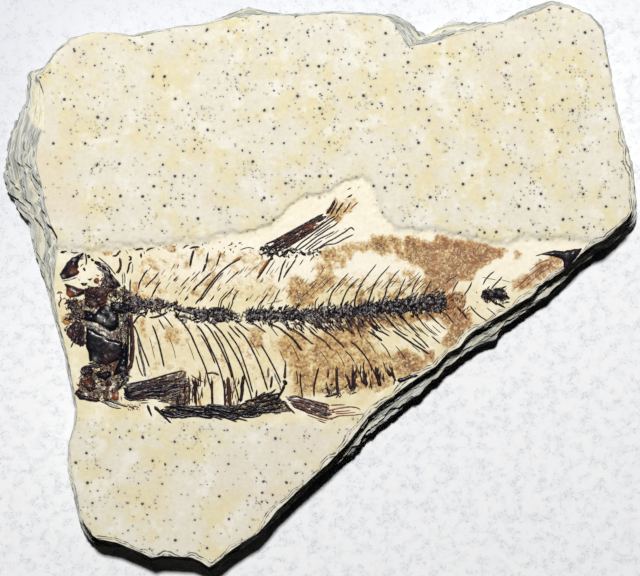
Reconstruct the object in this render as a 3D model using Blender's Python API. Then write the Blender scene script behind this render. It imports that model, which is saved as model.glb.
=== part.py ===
"""A fossil fish on the slab of laminated limestone that it was split from.

The slab lies flat on its underside with the fish up, its head towards -X. The origin is under the middle of
the slab. Places and sizes are written in millimetres as seen from above, and MM turns them into metres.
"""
import bpy
import bmesh
import numpy as np

MM = 0.001

# Driving dimensions, in millimetres.
BED_HEIGHT = 10.4
TOP_SHEET = 0.6
SHEET_INSET = 0.994
LAYER_OVERLAP = 0.2
BONE_GAP = 0.1
RIB_RADIUS = 0.17
SPINE_RADIUS = 0.15
BONE_FLATNESS = 0.8
COLUMN_FLATNESS = 0.6
COLUMN_SIDES = 6
FRONT_PITCH = 2.1
REAR_PITCH = 2.6
FIN_BASE_PITCH = 1.2
PLATE_CHAMFER = 0.12
TIP_TAPER = 0.45
SMOOTH_BELOW = 0.9
WELD = 0.001

# The layers of the slab from its base up: thickness, and how far out towards the ledge each one reaches.
LAYERS = [(1.6, 0.72), (1.0, 0.90), (1.6, 1.0), (1.0, 0.62), (1.4, 0.5), (1.2, 0.22), (2.6, 0.0)]

# The broken edge, clockwise from the upper left: the rim of the bed, and the ledge of the layers below it.
EDGE = [
    (-54.0, 40.0, -55.6, 41.0), (-52.8, 41.2, -53.0, 41.8), (-50.7, 44.4, -51.0, 44.9),
    (-47.8, 46.9, -48.0, 47.4), (-43.4, 48.1, -43.5, 48.6), (-40.0, 48.0, -40.0, 48.5),
    (-36.0, 47.5, -36.0, 48.0), (-32.0, 48.4, -32.0, 48.9), (-28.0, 49.2, -28.0, 49.7),
    (-22.0, 49.9, -22.0, 50.4), (-19.6, 50.7, -19.5, 51.4), (-15.6, 51.2, -16.0, 52.6),
    (-13.0, 51.5, -14.1, 53.5), (-9.5, 51.7, -10.0, 52.4), (-4.0, 51.6, -4.0, 52.1),
    (2.0, 52.0, 2.0, 52.5), (6.0, 51.8, 6.0, 52.3), (9.8, 51.7, 10.0, 52.2),
    (12.2, 51.2, 14.0, 51.8), (13.6, 50.0, 16.5, 50.6), (15.0, 47.8, 18.2, 49.0),
    (16.2, 45.7, 20.0, 48.1), (19.5, 46.2, 22.0, 49.4), (23.0, 47.0, 24.0, 50.5),
    (27.0, 48.3, 28.0, 50.3), (31.0, 49.5, 31.0, 50.5), (34.8, 50.2, 34.5, 50.9),
    (37.4, 51.2, 37.0, 52.3), (41.0, 52.4, 40.5, 53.7), (43.6, 53.7, 43.5, 54.4),
    (46.8, 53.0, 47.0, 53.5), (50.6, 51.6, 51.0, 52.1), (53.0, 48.8, 53.5, 49.2),
    (53.9, 44.3, 54.4, 44.5), (54.8, 38.4, 55.3, 38.5), (55.8, 32.6, 56.3, 32.8),
    (56.9, 28.9, 57.4, 29.2), (58.4, 23.8, 58.9, 24.0), (58.9, 18.5, 59.5, 18.5),
    (58.9, 15.0, 59.8, 14.0), (58.0, 13.2, 59.2, 12.0), (56.0, 11.3, 57.5, 10.2),
    (53.8, 9.2, 55.0, 8.3), (51.2, 8.0, 52.5, 7.0), (48.9, 6.2, 50.0, 5.0),
    (46.8, 4.1, 48.0, 3.5), (44.4, 2.5, 46.2, 1.6), (42.4, 1.2, 44.5, -0.5),
    (41.0, 0.0, 43.0, -1.5), (39.6, -1.7, 41.0, -3.1), (37.0, -3.2, 38.0, -5.1),
    (34.0, -5.1, 35.0, -7.1), (31.8, -6.4, 33.0, -9.8), (29.2, -7.8, 30.0, -11.1),
    (27.5, -9.3, 28.0, -12.3), (26.0, -11.4, 25.4, -14.2), (23.8, -12.5, 23.0, -16.1),
    (21.8, -14.8, 20.5, -18.1), (19.5, -16.2, 19.0, -20.1), (16.0, -18.6, 15.5, -22.5),
    (13.5, -20.6, 13.0, -24.8), (11.0, -22.4, 10.5, -26.6), (8.6, -24.6, 8.3, -28.9),
    (6.5, -27.4, 6.0, -31.4), (4.2, -30.3, 3.0, -33.3), (1.0, -33.4, 0.2, -35.2),
    (-1.6, -35.8, -2.0, -37.2), (-4.4, -38.4, -4.0, -39.4), (-8.4, -42.2, -8.0, -43.2),
    (-12.2, -46.6, -12.0, -47.4), (-15.3, -48.6, -15.0, -49.4), (-17.8, -50.3, -17.5, -51.2),
    (-20.2, -52.4, -20.0, -53.6), (-21.6, -53.2, -21.6, -54.3), (-23.0, -52.2, -23.0, -53.0),
    (-25.0, -51.3, -25.0, -51.9), (-30.5, -51.0, -30.5, -51.6), (-32.6, -51.4, -32.7, -52.3),
    (-35.8, -49.9, -36.0, -50.5), (-38.8, -48.6, -39.0, -49.4), (-42.4, -47.9, -43.0, -49.0),
    (-43.8, -47.2, -44.4, -48.2), (-45.7, -44.2, -46.3, -44.5), (-46.7, -39.3, -47.3, -39.5),
    (-47.8, -34.8, -48.4, -35.0), (-48.0, -30.0, -48.5, -30.0), (-46.8, -26.0, -47.3, -26.0),
    (-46.5, -23.3, -47.0, -23.3), (-47.3, -19.0, -47.9, -19.0), (-48.5, -13.0, -49.1, -13.0),
    (-50.0, -7.0, -50.7, -7.0), (-50.7, -3.5, -51.6, -3.5), (-51.1, 0.0, -52.4, 0.0),
    (-50.9, 3.0, -53.9, 4.0), (-50.4, 6.5, -55.4, 8.0), (-50.3, 9.6, -55.7, 12.4),
    (-51.6, 12.0, -57.5, 14.5), (-52.7, 16.0, -59.7, 18.0), (-53.4, 20.0, -60.5, 21.0),
    (-54.4, 24.0, -60.2, 25.0), (-54.2, 27.0, -59.2, 29.6), (-53.0, 30.5, -58.0, 33.0),
    (-52.8, 33.0, -56.8, 36.0), (-53.0, 37.0, -56.2, 40.0),
]

# Where the top sheet stops short of the fish, from the left edge to the right edge.
SHEET_STEP = [
    (-49.6, 7.6), (-45.0, 7.1), (-38.0, 8.2), (-30.0, 8.6), (-22.0, 9.3), (-17.5, 10.9), (-15.6, 10.5),
    (-12.7, 11.1), (-9.8, 12.1), (-7.8, 14.0), (-5.9, 15.9), (-3.0, 17.6), (1.1, 18.2), (3.4, 19.9),
    (7.7, 21.2), (9.2, 20.2), (10.2, 17.9), (11.4, 14.0), (14.0, 11.4), (22.0, 10.9), (28.0, 9.6),
    (32.9, 8.7), (36.2, 8.8), (38.1, 9.9), (42.3, 9.4), (47.0, 9.6), (51.6, 8.6),
]

MIDDLE_X = (max(p[2] for p in EDGE) + min(p[2] for p in EDGE)) / 2
MIDDLE_Y = (max(p[3] for p in EDGE) + min(p[3] for p in EDGE)) / 2

# Flat bones: outline and thickness.
PLATES = {
    "snout_plate": (0.9, "red_bone", [
        (-50.0, 2.5), (-49.5, 3.5), (-48.9, 4.5), (-48.0, 5.3), (-47.2, 6.0), (-46.0, 6.5), (-45.5, 6.4),
        (-46.2, 5.4), (-46.5, 4.6), (-46.4, 4.0), (-46.0, 2.9), (-47.0, 2.2), (-48.0, 1.8), (-49.7, 1.5)]),
    "upper_jaw_plate": (0.8, "red_bone", [
        (-49.2, 0.8), (-48.5, 0.5), (-47.4, 0.2), (-46.3, -0.1), (-45.4, -0.3), (-45.3, -0.8),
        (-45.6, -1.4), (-46.3, -1.7), (-47.4, -2.0), (-48.2, -1.8), (-48.8, -1.1), (-48.9, -0.2)]),
    "skull_roof": (0.7, "black_bone", [
        (-43.5, 5.1), (-42.6, 5.7), (-41.4, 4.8), (-40.3, 3.6), (-39.1, 2.3), (-38.5, 1.2), (-38.1, 0.1),
        (-39.0, 0.2), (-40.2, 0.8), (-41.0, 1.7), (-41.7, 2.8), (-43.0, 3.8)]),
    "eye_socket_bones": (0.9, "black_bone", [
        (-45.3, -4.1), (-44.2, -4.5), (-43.5, -5.0), (-42.8, -4.5), (-42.0, -3.7), (-41.2, -3.2),
        (-40.3, -3.8), (-39.8, -4.9), (-39.1, -5.2), (-38.9, -7.0), (-39.5, -8.0), (-40.3, -8.5),
        (-41.5, -7.8), (-42.8, -6.9), (-44.0, -6.7), (-45.2, -6.4)]),
    "cheek_bones": (0.8, "black_bone", [
        (-45.0, -7.7), (-43.6, -8.0), (-42.0, -8.8), (-40.6, -9.8), (-39.2, -10.0), (-38.3, -11.4),
        (-38.8, -13.0), (-39.7, -14.2), (-41.0, -14.8), (-42.8, -14.6), (-44.1, -14.0), (-44.5, -13.0),
        (-45.0, -11.5)]),
    "snout_side_bone": (0.6, "brown_bone", [
        (-46.8, -6.4), (-47.6, -6.9), (-48.6, -8.0), (-48.8, -8.9), (-48.1, -9.7), (-47.2, -10.7),
        (-46.0, -11.0), (-45.4, -11.2), (-45.4, -7.5), (-46.0, -6.8)]),
    "gill_cover": (0.6, "black_bone", [
        (-37.5, -9.9), (-37.2, -12.0), (-37.4, -14.5), (-37.8, -15.8), (-38.4, -16.1), (-39.8, -16.8),
        (-39.6, -15.7), (-38.9, -14.3), (-38.2, -12.6), (-37.9, -11.0)]),
    "jaw_branch": (0.5, "brown_bone", [
        (-46.1, -15.9), (-45.5, -15.1), (-43.9, -15.1), (-43.7, -16.2), (-44.0, -17.5), (-43.2, -18.8),
        (-43.6, -19.6), (-44.9, -19.5), (-45.3, -18.5), (-45.0, -17.3), (-45.8, -16.5)]),
    "tongue_plate": (0.5, "black_bone", [
        (-43.3, -16.5), (-42.0, -16.2), (-40.6, -16.0), (-40.2, -17.1), (-41.3, -17.5), (-42.5, -17.2)]),
    "lower_jaw": (0.6, "black_bone", [
        (-47.2, -20.1), (-46.8, -19.5), (-46.2, -19.3), (-45.5, -20.0), (-44.6, -20.5), (-43.5, -20.7),
        (-42.2, -21.2), (-40.5, -21.7), (-38.8, -22.2), (-38.5, -22.9), (-40.2, -22.7), (-42.2, -22.0),
        (-44.5, -21.7), (-46.3, -21.2)]),
    "tail_vertebrae": (0.8, "black_bone", [
        (30.0, -1.8), (30.4, -0.6), (31.0, -0.3), (31.9, -0.4), (33.0, 0.0), (34.0, 0.05), (34.8, -0.5),
        (35.0, -1.3), (35.7, -2.0), (34.9, -2.4), (33.0, -2.4), (31.7, -2.6), (30.8, -2.3)]),
    "tail_fin": (0.4, "brown_bone", [
        (40.5, 6.0), (42.0, 6.6), (44.0, 7.1), (46.0, 7.0), (47.6, 7.2), (48.1, 6.2), (47.2, 5.0),
        (46.1, 3.9), (45.7, 4.7), (45.4, 5.3), (44.0, 5.9), (42.0, 6.2)]),
}

# Fins and scutes grow from a thin plate or a base: their rays and blades are fused to it below.
PECTORAL_FAN = [
    (-37.6, -19.2), (-36.7, -18.3), (-33.0, -17.5), (-29.0, -16.4), (-26.4, -15.8), (-25.9, -18.0),
    (-25.9, -21.6), (-28.4, -22.2), (-30.0, -22.2), (-32.6, -20.9), (-34.5, -21.2), (-36.5, -21.5),
    (-37.8, -20.6)]
PECTORAL_RAYS = [
    [(-37.4, -18.9), (-33.0, -17.8), (-29.0, -16.8), (-26.6, -16.1)],
    [(-37.5, -19.6), (-33.0, -18.7), (-29.0, -18.0), (-26.3, -17.4)],
    [(-37.5, -20.1), (-33.0, -19.6), (-29.0, -19.3), (-26.3, -19.0)],
    [(-37.4, -20.7), (-33.0, -20.4), (-29.5, -20.7), (-26.4, -21.1)]]
PELVIC_FAN = [
    (-6.7, -21.2), (-5.0, -20.8), (-3.5, -21.3), (-1.0, -21.8), (1.1, -22.2), (1.5, -23.2), (1.4, -24.3),
    (1.0, -24.9), (-2.0, -24.0), (-4.0, -23.2), (-5.8, -22.4)]
PELVIC_RAYS = [
    [(-6.0, -21.6), (-2.0, -22.2), (1.0, -22.6), (4.4, -22.3)],
    [(-5.6, -21.9), (-2.0, -22.8), (1.0, -23.4), (5.0, -22.7), (7.3, -23.3)],
    [(-5.4, -22.3), (-2.0, -23.5), (0.8, -24.5), (3.3, -24.4), (8.0, -24.0)]]
SCUTE_BED_FRONT = [
    (-28.3, -22.8), (-26.4, -23.0), (-24.0, -23.1), (-21.3, -22.9), (-18.0, -22.7), (-15.6, -23.1),
    (-15.6, -24.1), (-18.0, -24.6), (-21.0, -24.4), (-24.0, -24.3), (-26.4, -23.9), (-27.8, -23.6)]
SCUTES_FRONT = [
    [(-27.8, -23.3), (-29.0, -24.0), (-31.9, -22.6)],
    [(-27.6, -23.3), (-29.2, -24.6), (-28.6, -25.8)],
    [(-27.4, -23.4), (-28.0, -24.3), (-27.0, -24.8)],
    [(-26.2, -23.5), (-24.9, -24.3), (-23.3, -24.6)],
    [(-24.0, -23.9), (-21.5, -24.5), (-19.0, -25.1)],
    [(-21.5, -23.9), (-18.5, -24.8), (-16.3, -25.5)],
    [(-19.5, -24.1), (-17.0, -24.8), (-14.4, -25.3)],
    [(-20.9, -23.4), (-21.0, -21.5), (-21.1, -19.7)],
    [(-18.4, -23.3), (-18.5, -21.0), (-18.6, -18.8)],
    [(-17.5, -23.3), (-17.6, -20.5), (-18.0, -17.6)]]
SCUTE_BED_REAR = [
    (-14.8, -23.4), (-14.8, -22.3), (-12.5, -21.5), (-10.6, -20.6), (-9.6, -21.2), (-9.4, -22.6),
    (-9.4, -23.6), (-12.0, -23.7)]
SCUTES_REAR = [
    [(-14.4, -23.4), (-12.0, -23.5), (-9.0, -23.6), (-6.8, -23.5)],
    [(-14.2, -23.1), (-14.8, -24.2), (-13.5, -24.6), (-11.7, -24.3)],
    [(-12.7, -22.4), (-12.7, -21.0), (-12.5, -19.5)]]
DORSAL_RAYS = [
    [(-10.4, 7.7), (-7.0, 10.0), (-3.0, 12.2), (0.2, 13.8), (1.4, 14.9), (2.4, 16.6)],
    [(-8.6, 7.6), (-5.0, 9.8), (-1.0, 12.4), (1.6, 13.9), (2.9, 16.2)],
    [(-7.1, 7.1), (-4.5, 9.0), (-1.0, 11.4), (2.5, 13.6), (4.0, 16.2)],
    [(-5.4, 6.9), (-2.5, 9.5), (0.5, 11.7), (2.9, 13.2)],
    [(-4.4, 6.8), (-1.8, 9.1), (0.8, 10.9), (3.1, 12.6)],
    [(-3.2, 6.9), (-0.6, 9.1), (2.3, 10.7)],
    [(-2.0, 6.8), (1.0, 8.7), (4.2, 10.5), (5.4, 11.4), (6.0, 10.9)],
    [(-0.9, 6.9), (1.0, 8.0), (3.4, 8.8), (5.9, 10.1)]]

# Slender bones: half width and course.
BARS = {
    "shoulder_bar": (0.38, "brown_bone", [
        (-36.7, -4.9), (-36.5, -7.0), (-36.3, -10.0), (-36.3, -13.0), (-36.7, -16.0), (-37.0, -17.5)]),
    "neural_spine_1": (0.15, "brown_bone", [(-35.0, -0.4), (-34.8, 0.8), (-34.3, 1.9), (-33.3, 3.4)]),
    "neural_spine_2": (0.15, "brown_bone", [(-33.8, -0.1), (-33.0, 0.9), (-31.1, 2.9)]),
    "neural_spine_3": (0.18, "brown_bone", [(-24.8, -0.7), (-24.0, 0.2), (-22.3, 1.8), (-21.1, 2.9)]),
    "neural_spine_4": (0.28, "brown_bone", [
        (-24.1, -3.1), (-23.1, -1.9), (-21.3, 0.7), (-19.3, 3.0), (-18.0, 4.1), (-15.5, 5.4)]),
    "predorsal_1": (0.30, "red_bone", [(-38.6, 5.5), (-38.5, 4.2), (-38.9, 2.6)]),
    "predorsal_2": (0.24, "brown_bone", [(-36.6, 5.8), (-36.7, 4.5), (-37.2, 2.6)]),
    "predorsal_3": (0.28, "brown_bone", [(-24.3, 7.4), (-24.7, 5.6), (-25.2, 3.9)]),
    "predorsal_4": (0.28, "brown_bone", [(-21.7, 6.8), (-22.0, 5.2), (-22.8, 2.9)]),
    "fin_support_1": (0.26, "red_bone", [(-10.1, 5.2), (-11.5, 3.0), (-12.5, 1.6)]),
    "fin_support_2": (0.20, "red_bone", [(-7.1, 5.1), (-7.9, 3.0), (-8.4, 1.0)]),
    "fin_support_3": (0.18, "brown_bone", [(-5.5, 5.0), (-6.5, 3.3), (-7.5, 1.7)]),
    "pelvic_bone": (0.32, "black_bone", [
        (-7.0, -18.1), (-7.4, -19.2), (-8.2, -20.5), (-8.7, -21.6), (-8.5, -22.9)]),
    "anal_support_1": (0.24, "brown_bone", [(2.7, -15.1), (2.7, -17.0), (2.8, -18.8), (3.0, -20.1)]),
    "anal_support_2": (0.28, "brown_bone", [(5.8, -15.6), (5.8, -17.2), (6.0, -19.5)]),
    "anal_support_3": (0.28, "brown_bone", [(7.8, -15.7), (8.0, -17.2), (8.4, -18.8)]),
    "anal_support_4": (0.28, "brown_bone", [(10.1, -15.1), (10.5, -17.0), (11.1, -18.5)]),
    "anal_support_5": (0.28, "black_bone", [(13.2, -15.1), (13.5, -16.8), (14.4, -17.6), (17.6, -17.0)]),
    "haemal_rod_1": (0.20, "brown_bone", [
        (13.2, -8.4), (14.5, -9.1), (16.2, -10.1), (18.2, -11.4), (20.3, -12.7)]),
    "haemal_rod_2": (0.17, "brown_bone", [(17.5, -8.9), (18.9, -10.0), (20.3, -11.4)]),
    "haemal_rod_3": (0.24, "brown_bone", [(8.5, -8.3), (10.0, -9.2), (11.4, -10.2)]),
}

# Ribs, from the shoulder to the vent, each from its head down.
RIBS = [
    [(-35.4, -8.2), (-34.8, -10.0), (-34.2, -11.8), (-33.6, -13.2), (-32.9, -15.2)],
    [(-35.1, -11.8), (-34.5, -13.7), (-34.1, -15.2), (-33.7, -17.0)],
    [(-32.4, -7.1), (-31.7, -9.0), (-31.0, -11.4), (-30.4, -13.8), (-30.1, -15.2)],
    [(-27.4, -5.9), (-26.1, -7.3), (-25.1, -8.8), (-23.6, -12.2), (-22.1, -15.8), (-21.3, -18.9)],
    [(-24.0, -7.1), (-22.2, -9.6), (-20.5, -13.2), (-19.3, -16.4), (-18.9, -18.0)],
    [(-23.2, -8.9), (-22.3, -10.3), (-21.2, -12.5), (-20.4, -14.5)],
    [(-22.6, -7.0), (-21.2, -8.5), (-19.7, -11.0), (-18.6, -13.2), (-17.9, -15.2)],
    [(-20.6, -8.1), (-18.9, -11.0), (-17.3, -15.0), (-16.8, -17.0), (-16.3, -19.0), (-16.0, -21.4)],
    [(-20.9, -6.9), (-19.0, -8.8), (-17.0, -12.0), (-15.3, -15.3), (-14.2, -18.5), (-13.6, -21.0)],
    [(-18.1, -8.3), (-16.2, -11.0), (-15.0, -14.0), (-13.9, -17.5), (-13.2, -19.8)],
    [(-17.9, -7.2), (-16.7, -8.5), (-15.6, -9.6)],
    [(-16.8, -7.3), (-14.9, -9.2), (-13.1, -12.3), (-11.6, -15.8), (-10.5, -19.4)],
    [(-11.8, -10.8), (-10.1, -13.6), (-9.2, -15.3), (-8.9, -15.9)],
    [(-9.9, -7.0), (-8.2, -7.8), (-6.0, -9.4), (-5.0, -10.5), (-3.8, -12.0)],
    [(-6.8, -7.6), (-4.2, -8.8), (-2.2, -10.3), (-1.5, -10.8)],
    [(-2.5, -8.3), (-0.2, -9.8), (0.6, -10.4), (1.7, -11.8)],
    [(-1.4, -7.2), (0.3, -8.1), (2.7, -10.0), (4.2, -11.6)],
    [(5.2, -10.1), (7.2, -11.9), (8.3, -13.3), (9.2, -14.9), (9.7, -16.4)],
]

# The column: place of its middle line and its half height, and the spines that grow from it.
FRONT_LINE = [
    (-36.0, -3.1, 0.9), (-34.3, -3.2, 0.8), (-32.6, -3.4, 0.7), (-31.0, -3.3, 0.9), (-29.0, -3.6, 0.55),
    (-27.0, -4.4, 0.55), (-24.5, -4.9, 0.6), (-22.6, -5.1, 1.1), (-21.0, -5.1, 0.8), (-19.4, -5.1, 1.2),
    (-17.8, -5.3, 0.9), (-16.4, -5.6, 0.6)]
FRONT_SPINES = [
    [(-32.8, -3.2), (-32.4, -1.6), (-31.9, -0.5), (-30.7, 1.1)],
    [(-19.5, -4.4), (-19.2, -2.7), (-18.3, -1.5), (-16.8, 0.1)],
    [(-18.1, -4.7), (-17.3, -2.7), (-16.4, -1.1), (-15.8, -0.5)]]
REAR_LINE = [
    (-14.0, -5.4, 1.0), (-12.0, -5.5, 1.3), (-9.0, -5.4, 1.15), (-5.0, -5.5, 1.2), (-1.0, -5.2, 1.3),
    (4.0, -4.8, 1.3), (8.7, -4.1, 1.2), (12.0, -3.8, 1.3), (16.0, -3.4, 1.45), (20.0, -3.0, 1.4),
    (23.0, -2.5, 1.6)]
REAR_SPINES = [
    [(-12.6, -4.9), (-12.0, -3.3), (-11.2, -2.2), (-10.3, -1.0)],
    [(-10.0, -4.8), (-9.2, -2.6), (-8.0, -0.2)],
    [(-1.5, -4.6), (-1.3, -2.8), (-0.7, -1.8)],
    [(1.0, -4.5), (1.3, -2.4), (1.8, -1.0), (3.5, 1.2), (5.0, 2.8)],
    [(3.6, -4.4), (3.9, -2.3), (4.4, -1.1), (5.5, 0.5), (7.1, 1.8)],
    [(6.1, -4.0), (6.3, -1.8), (7.4, 0.6), (9.0, 2.9), (10.3, 4.5)],
    [(8.7, -3.8), (9.0, -1.8), (10.0, 0.8), (11.0, 2.2), (12.8, 4.2)],
    [(11.4, -3.5), (11.9, -1.5), (12.8, 1.0), (14.7, 3.4)],
    [(14.0, -3.2), (14.5, -1.3), (15.8, 1.9)],
    [(16.4, -3.0), (16.9, -1.3), (17.9, 1.2), (18.8, 2.4)],
    [(6.2, -4.8), (7.0, -6.2), (7.8, -7.1)],
    [(8.9, -4.7), (9.8, -6.4), (11.3, -7.7)],
    [(11.6, -4.6), (12.8, -6.4), (14.6, -8.3), (16.4, -9.3)],
    [(14.7, -4.3), (15.8, -6.4), (17.2, -8.0)],
    [(17.4, -4.3), (19.2, -7.1), (21.7, -9.2)],
    [(21.5, -3.4), (23.8, -5.3), (25.2, -6.9)]]
DORSAL_BASE = [
    (-11.7, 7.1, 0.5), (-10.0, 7.0, 1.1), (-8.0, 6.9, 1.2), (-6.0, 6.6, 0.95), (-4.0, 6.5, 0.75),
    (-2.0, 6.7, 0.6), (-0.3, 6.9, 0.4)]

COLOURS = {
    "limestone": ((0.76, 0.71, 0.58), 0.85),
    "black_bone": ((0.022, 0.018, 0.022), 0.35),
    "brown_bone": ((0.075, 0.035, 0.022), 0.45),
    "red_bone": ((0.16, 0.045, 0.018), 0.35),
}


def clear_scene():
    for thing in list(bpy.data.objects):
        bpy.data.objects.remove(thing, do_unlink=True)


def make_materials():
    for name, (colour, roughness) in COLOURS.items():
        material = bpy.data.materials.new(name)
        material.use_nodes = True
        shader = material.node_tree.nodes["Principled BSDF"]
        shader.inputs["Base Color"].default_value = (*colour, 1.0)
        shader.inputs["Roughness"].default_value = roughness
        shader.inputs["Metallic"].default_value = 0.0


def place(x, y):
    """A place seen from above, in metres from the middle of the slab."""
    return (x - MIDDLE_X) * MM, (y - MIDDLE_Y) * MM


def curve_to_mesh(curve_object, name, material_name):
    """The curve's solid as a mesh object with its caps welded on and its place in its mesh."""
    bpy.context.view_layer.update()
    graph = bpy.context.evaluated_depsgraph_get()
    mesh = bpy.data.meshes.new_from_object(curve_object.evaluated_get(graph))
    mesh.transform(curve_object.matrix_world)
    solid = bmesh.new()
    solid.from_mesh(mesh)
    bmesh.ops.remove_doubles(solid, verts=solid.verts, dist=WELD * MM)
    bmesh.ops.recalc_face_normals(solid, faces=solid.faces)
    solid.to_mesh(mesh)
    solid.free()
    bpy.data.objects.remove(curve_object, do_unlink=True)
    result = bpy.data.objects.new(name, mesh)
    result.data.materials.clear()
    result.data.materials.append(bpy.data.materials[material_name])
    PARTS.objects.link(result)
    return result


def new_curve(name, dimensions, points, radii=None):
    curve = bpy.data.curves.new(name, "CURVE")
    curve.dimensions = dimensions
    spline = curve.splines.new("POLY")
    spline.points.add(len(points) - 1)
    for index, (x, y) in enumerate(points):
        spline.points[index].co = (*place(x, y), 0.0, 1.0)
        if radii is not None:
            spline.points[index].radius = radii[index]
    curve_object = bpy.data.objects.new(name, curve)
    PARTS.objects.link(curve_object)
    return curve_object, spline


def plate(name, outline, bottom, thickness, material_name, chamfer=0.0):
    """A flat piece: a filled outline with its thickness, its edges chamfered inwards."""
    curve_object, spline = new_curve(name, "2D", outline)
    spline.use_cyclic_u = True
    curve_object.data.fill_mode = "BOTH"
    curve_object.data.extrude = (thickness / 2 - chamfer) * MM
    curve_object.data.bevel_depth = chamfer * MM
    curve_object.data.bevel_resolution = 0
    curve_object.data.offset = -chamfer * MM
    curve_object.location.z = (bottom + thickness / 2) * MM
    return curve_to_mesh(curve_object, name, material_name)


def cut_flat(solid, floor):
    """Takes off what lies under the floor height and closes the cut with one flat face."""
    work = bmesh.new()
    work.from_mesh(solid.data)
    bmesh.ops.bisect_plane(work, geom=work.verts[:] + work.edges[:] + work.faces[:],
                           plane_co=(0.0, 0.0, floor), plane_no=(0.0, 0.0, -1.0), clear_outer=True)
    rim = [edge for edge in work.edges if edge.is_boundary]
    bmesh.ops.edgeloop_fill(work, edges=rim)
    bmesh.ops.recalc_face_normals(work, faces=work.faces)
    work.to_mesh(solid.data)
    work.free()


def bar(name, course, radius, material_name, flatness=BONE_FLATNESS, radii=None, sides=4, half_round=False):
    """A slender bone on the bed, thinner towards its far end unless its own radii are given.

    A half round one has a flat underside, which keeps all of its length down on the bed.
    """
    if radii is None:
        radii = [1.0 - TIP_TAPER * index / (len(course) - 1) for index in range(len(course))]
    curve_object, spline = new_curve(name, "3D", course, radii)
    curve_object.data.fill_mode = "FULL"
    curve_object.data.bevel_depth = radius * MM
    curve_object.data.bevel_resolution = (sides - 4) // 2
    curve_object.data.use_fill_caps = True
    floor = (BED_HEIGHT + BONE_GAP) * MM
    curve_object.scale.z = flatness
    curve_object.location.z = floor if half_round else floor + radius * flatness * MM
    solid = curve_to_mesh(curve_object, name, material_name)
    if half_round:
        cut_flat(solid, floor)
    solid.data.shade_smooth()
    solid.data.set_sharp_from_angle(angle=SMOOTH_BELOW)
    return solid


def column(name, line, pitch, material_name):
    """A row of centra: each one has a rim at both ends, a waist, and a groove to the next."""
    line = np.array(line)
    reach = line[-1, 0] - line[0, 0]
    count = round(reach / pitch)
    shares = [0.08, 0.5, 0.92, 1.0]
    swell = [1.0, 0.78, 1.0, 0.84]
    xs = np.array([line[0, 0] + reach * (k + s) / count for k in range(count) for s in shares][:-1])
    ys = np.interp(xs, line[:, 0], line[:, 1])
    radii = np.interp(xs, line[:, 0], line[:, 2]) * (swell * count)[:-1]
    return bar(name, list(zip(xs, ys)), 1.0, material_name, COLUMN_FLATNESS, list(radii), COLUMN_SIDES, True)


def joined(pieces, name, material_name):
    """The pieces grown together in one closed solid."""
    base = pieces[0]
    base.name = name
    for piece in pieces[1:]:
        union = base.modifiers.new("grow", "BOOLEAN")
        union.operation = "UNION"
        union.solver = "EXACT"
        union.object = piece
        bpy.context.view_layer.update()
        graph = bpy.context.evaluated_depsgraph_get()
        mesh = bpy.data.meshes.new_from_object(base.evaluated_get(graph))
        base.modifiers.clear()
        base.data = mesh
        bpy.data.objects.remove(piece, do_unlink=True)
    base.data.materials.clear()
    base.data.materials.append(bpy.data.materials[material_name])
    return base


def slab():
    """The stack of layers, each broken further out or in than the next, and the top sheet over them."""
    layers = []
    height = 0.0
    for thickness, reach in LAYERS:
        outline = [(rx + (lx - rx) * reach, ry + (ly - ry) * reach) for rx, ry, lx, ly in EDGE]
        overlap = LAYER_OVERLAP if height > 0 else 0.0
        layers.append(plate("layer", outline, height - overlap, thickness + overlap, "limestone"))
        height += thickness
    # The sheet follows the rim except between the step's two ends, where it follows the step.
    rim = [(x * SHEET_INSET, y * SHEET_INSET) for x, y, _, _ in EDGE]
    left_y, right_y = SHEET_STEP[0][1], SHEET_STEP[-1][1]
    right_end = next(i for i, (x, y) in enumerate(rim) if x > 0 and y < right_y)
    left_end = next(i for i, (x, y) in enumerate(rim) if i > right_end and x < 0 and y > left_y)
    outline = rim[:right_end] + SHEET_STEP[::-1] + rim[left_end:]
    top = plate("layer", outline, BED_HEIGHT - LAYER_OVERLAP, TOP_SHEET + LAYER_OVERLAP, "limestone")
    joined(layers + [top], "limestone_slab", "limestone")


def slender_bones():
    for name, (radius, material_name, course) in BARS.items():
        bar(name, course, radius, material_name)
    for index, course in enumerate(RIBS):
        bar(f"rib_{index + 1:02d}", course, RIB_RADIUS, "brown_bone")


def flat_bones():
    for name, (thickness, material_name, outline) in PLATES.items():
        plate(name, outline, BED_HEIGHT + BONE_GAP, thickness, material_name, PLATE_CHAMFER)


def fused_bones():
    """Bones that carry a row of smaller ones: the column's spines, the fins' rays, the belly scutes."""
    bed = BED_HEIGHT + BONE_GAP
    groups = [
        ("backbone_front", column("base", FRONT_LINE, FRONT_PITCH, "black_bone"), FRONT_SPINES, SPINE_RADIUS),
        ("backbone_rear", column("base", REAR_LINE, REAR_PITCH, "black_bone"), REAR_SPINES, SPINE_RADIUS),
        ("dorsal_fin", column("base", DORSAL_BASE, FIN_BASE_PITCH, "black_bone"), DORSAL_RAYS, 0.22),
        ("pectoral_fin", plate("base", PECTORAL_FAN, bed, 0.26, "brown_bone"), PECTORAL_RAYS, 0.30),
        ("pelvic_fin", plate("base", PELVIC_FAN, bed, 0.26, "brown_bone"), PELVIC_RAYS, 0.24),
        ("belly_scutes_front", plate("base", SCUTE_BED_FRONT, bed, 0.4, "black_bone"), SCUTES_FRONT, 0.32),
        ("belly_scutes_rear", plate("base", SCUTE_BED_REAR, bed, 0.4, "black_bone"), SCUTES_REAR, 0.32),
    ]
    for name, base, courses, radius in groups:
        material_name = base.data.materials[0].name
        branches = [bar("branch", course, radius, material_name) for course in courses]
        joined([base] + branches, name, material_name)


clear_scene()
make_materials()
PARTS = bpy.data.collections.new("fossil_fish")
bpy.context.scene.collection.children.link(PARTS)
slab()
flat_bones()
slender_bones()
fused_bones()
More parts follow.
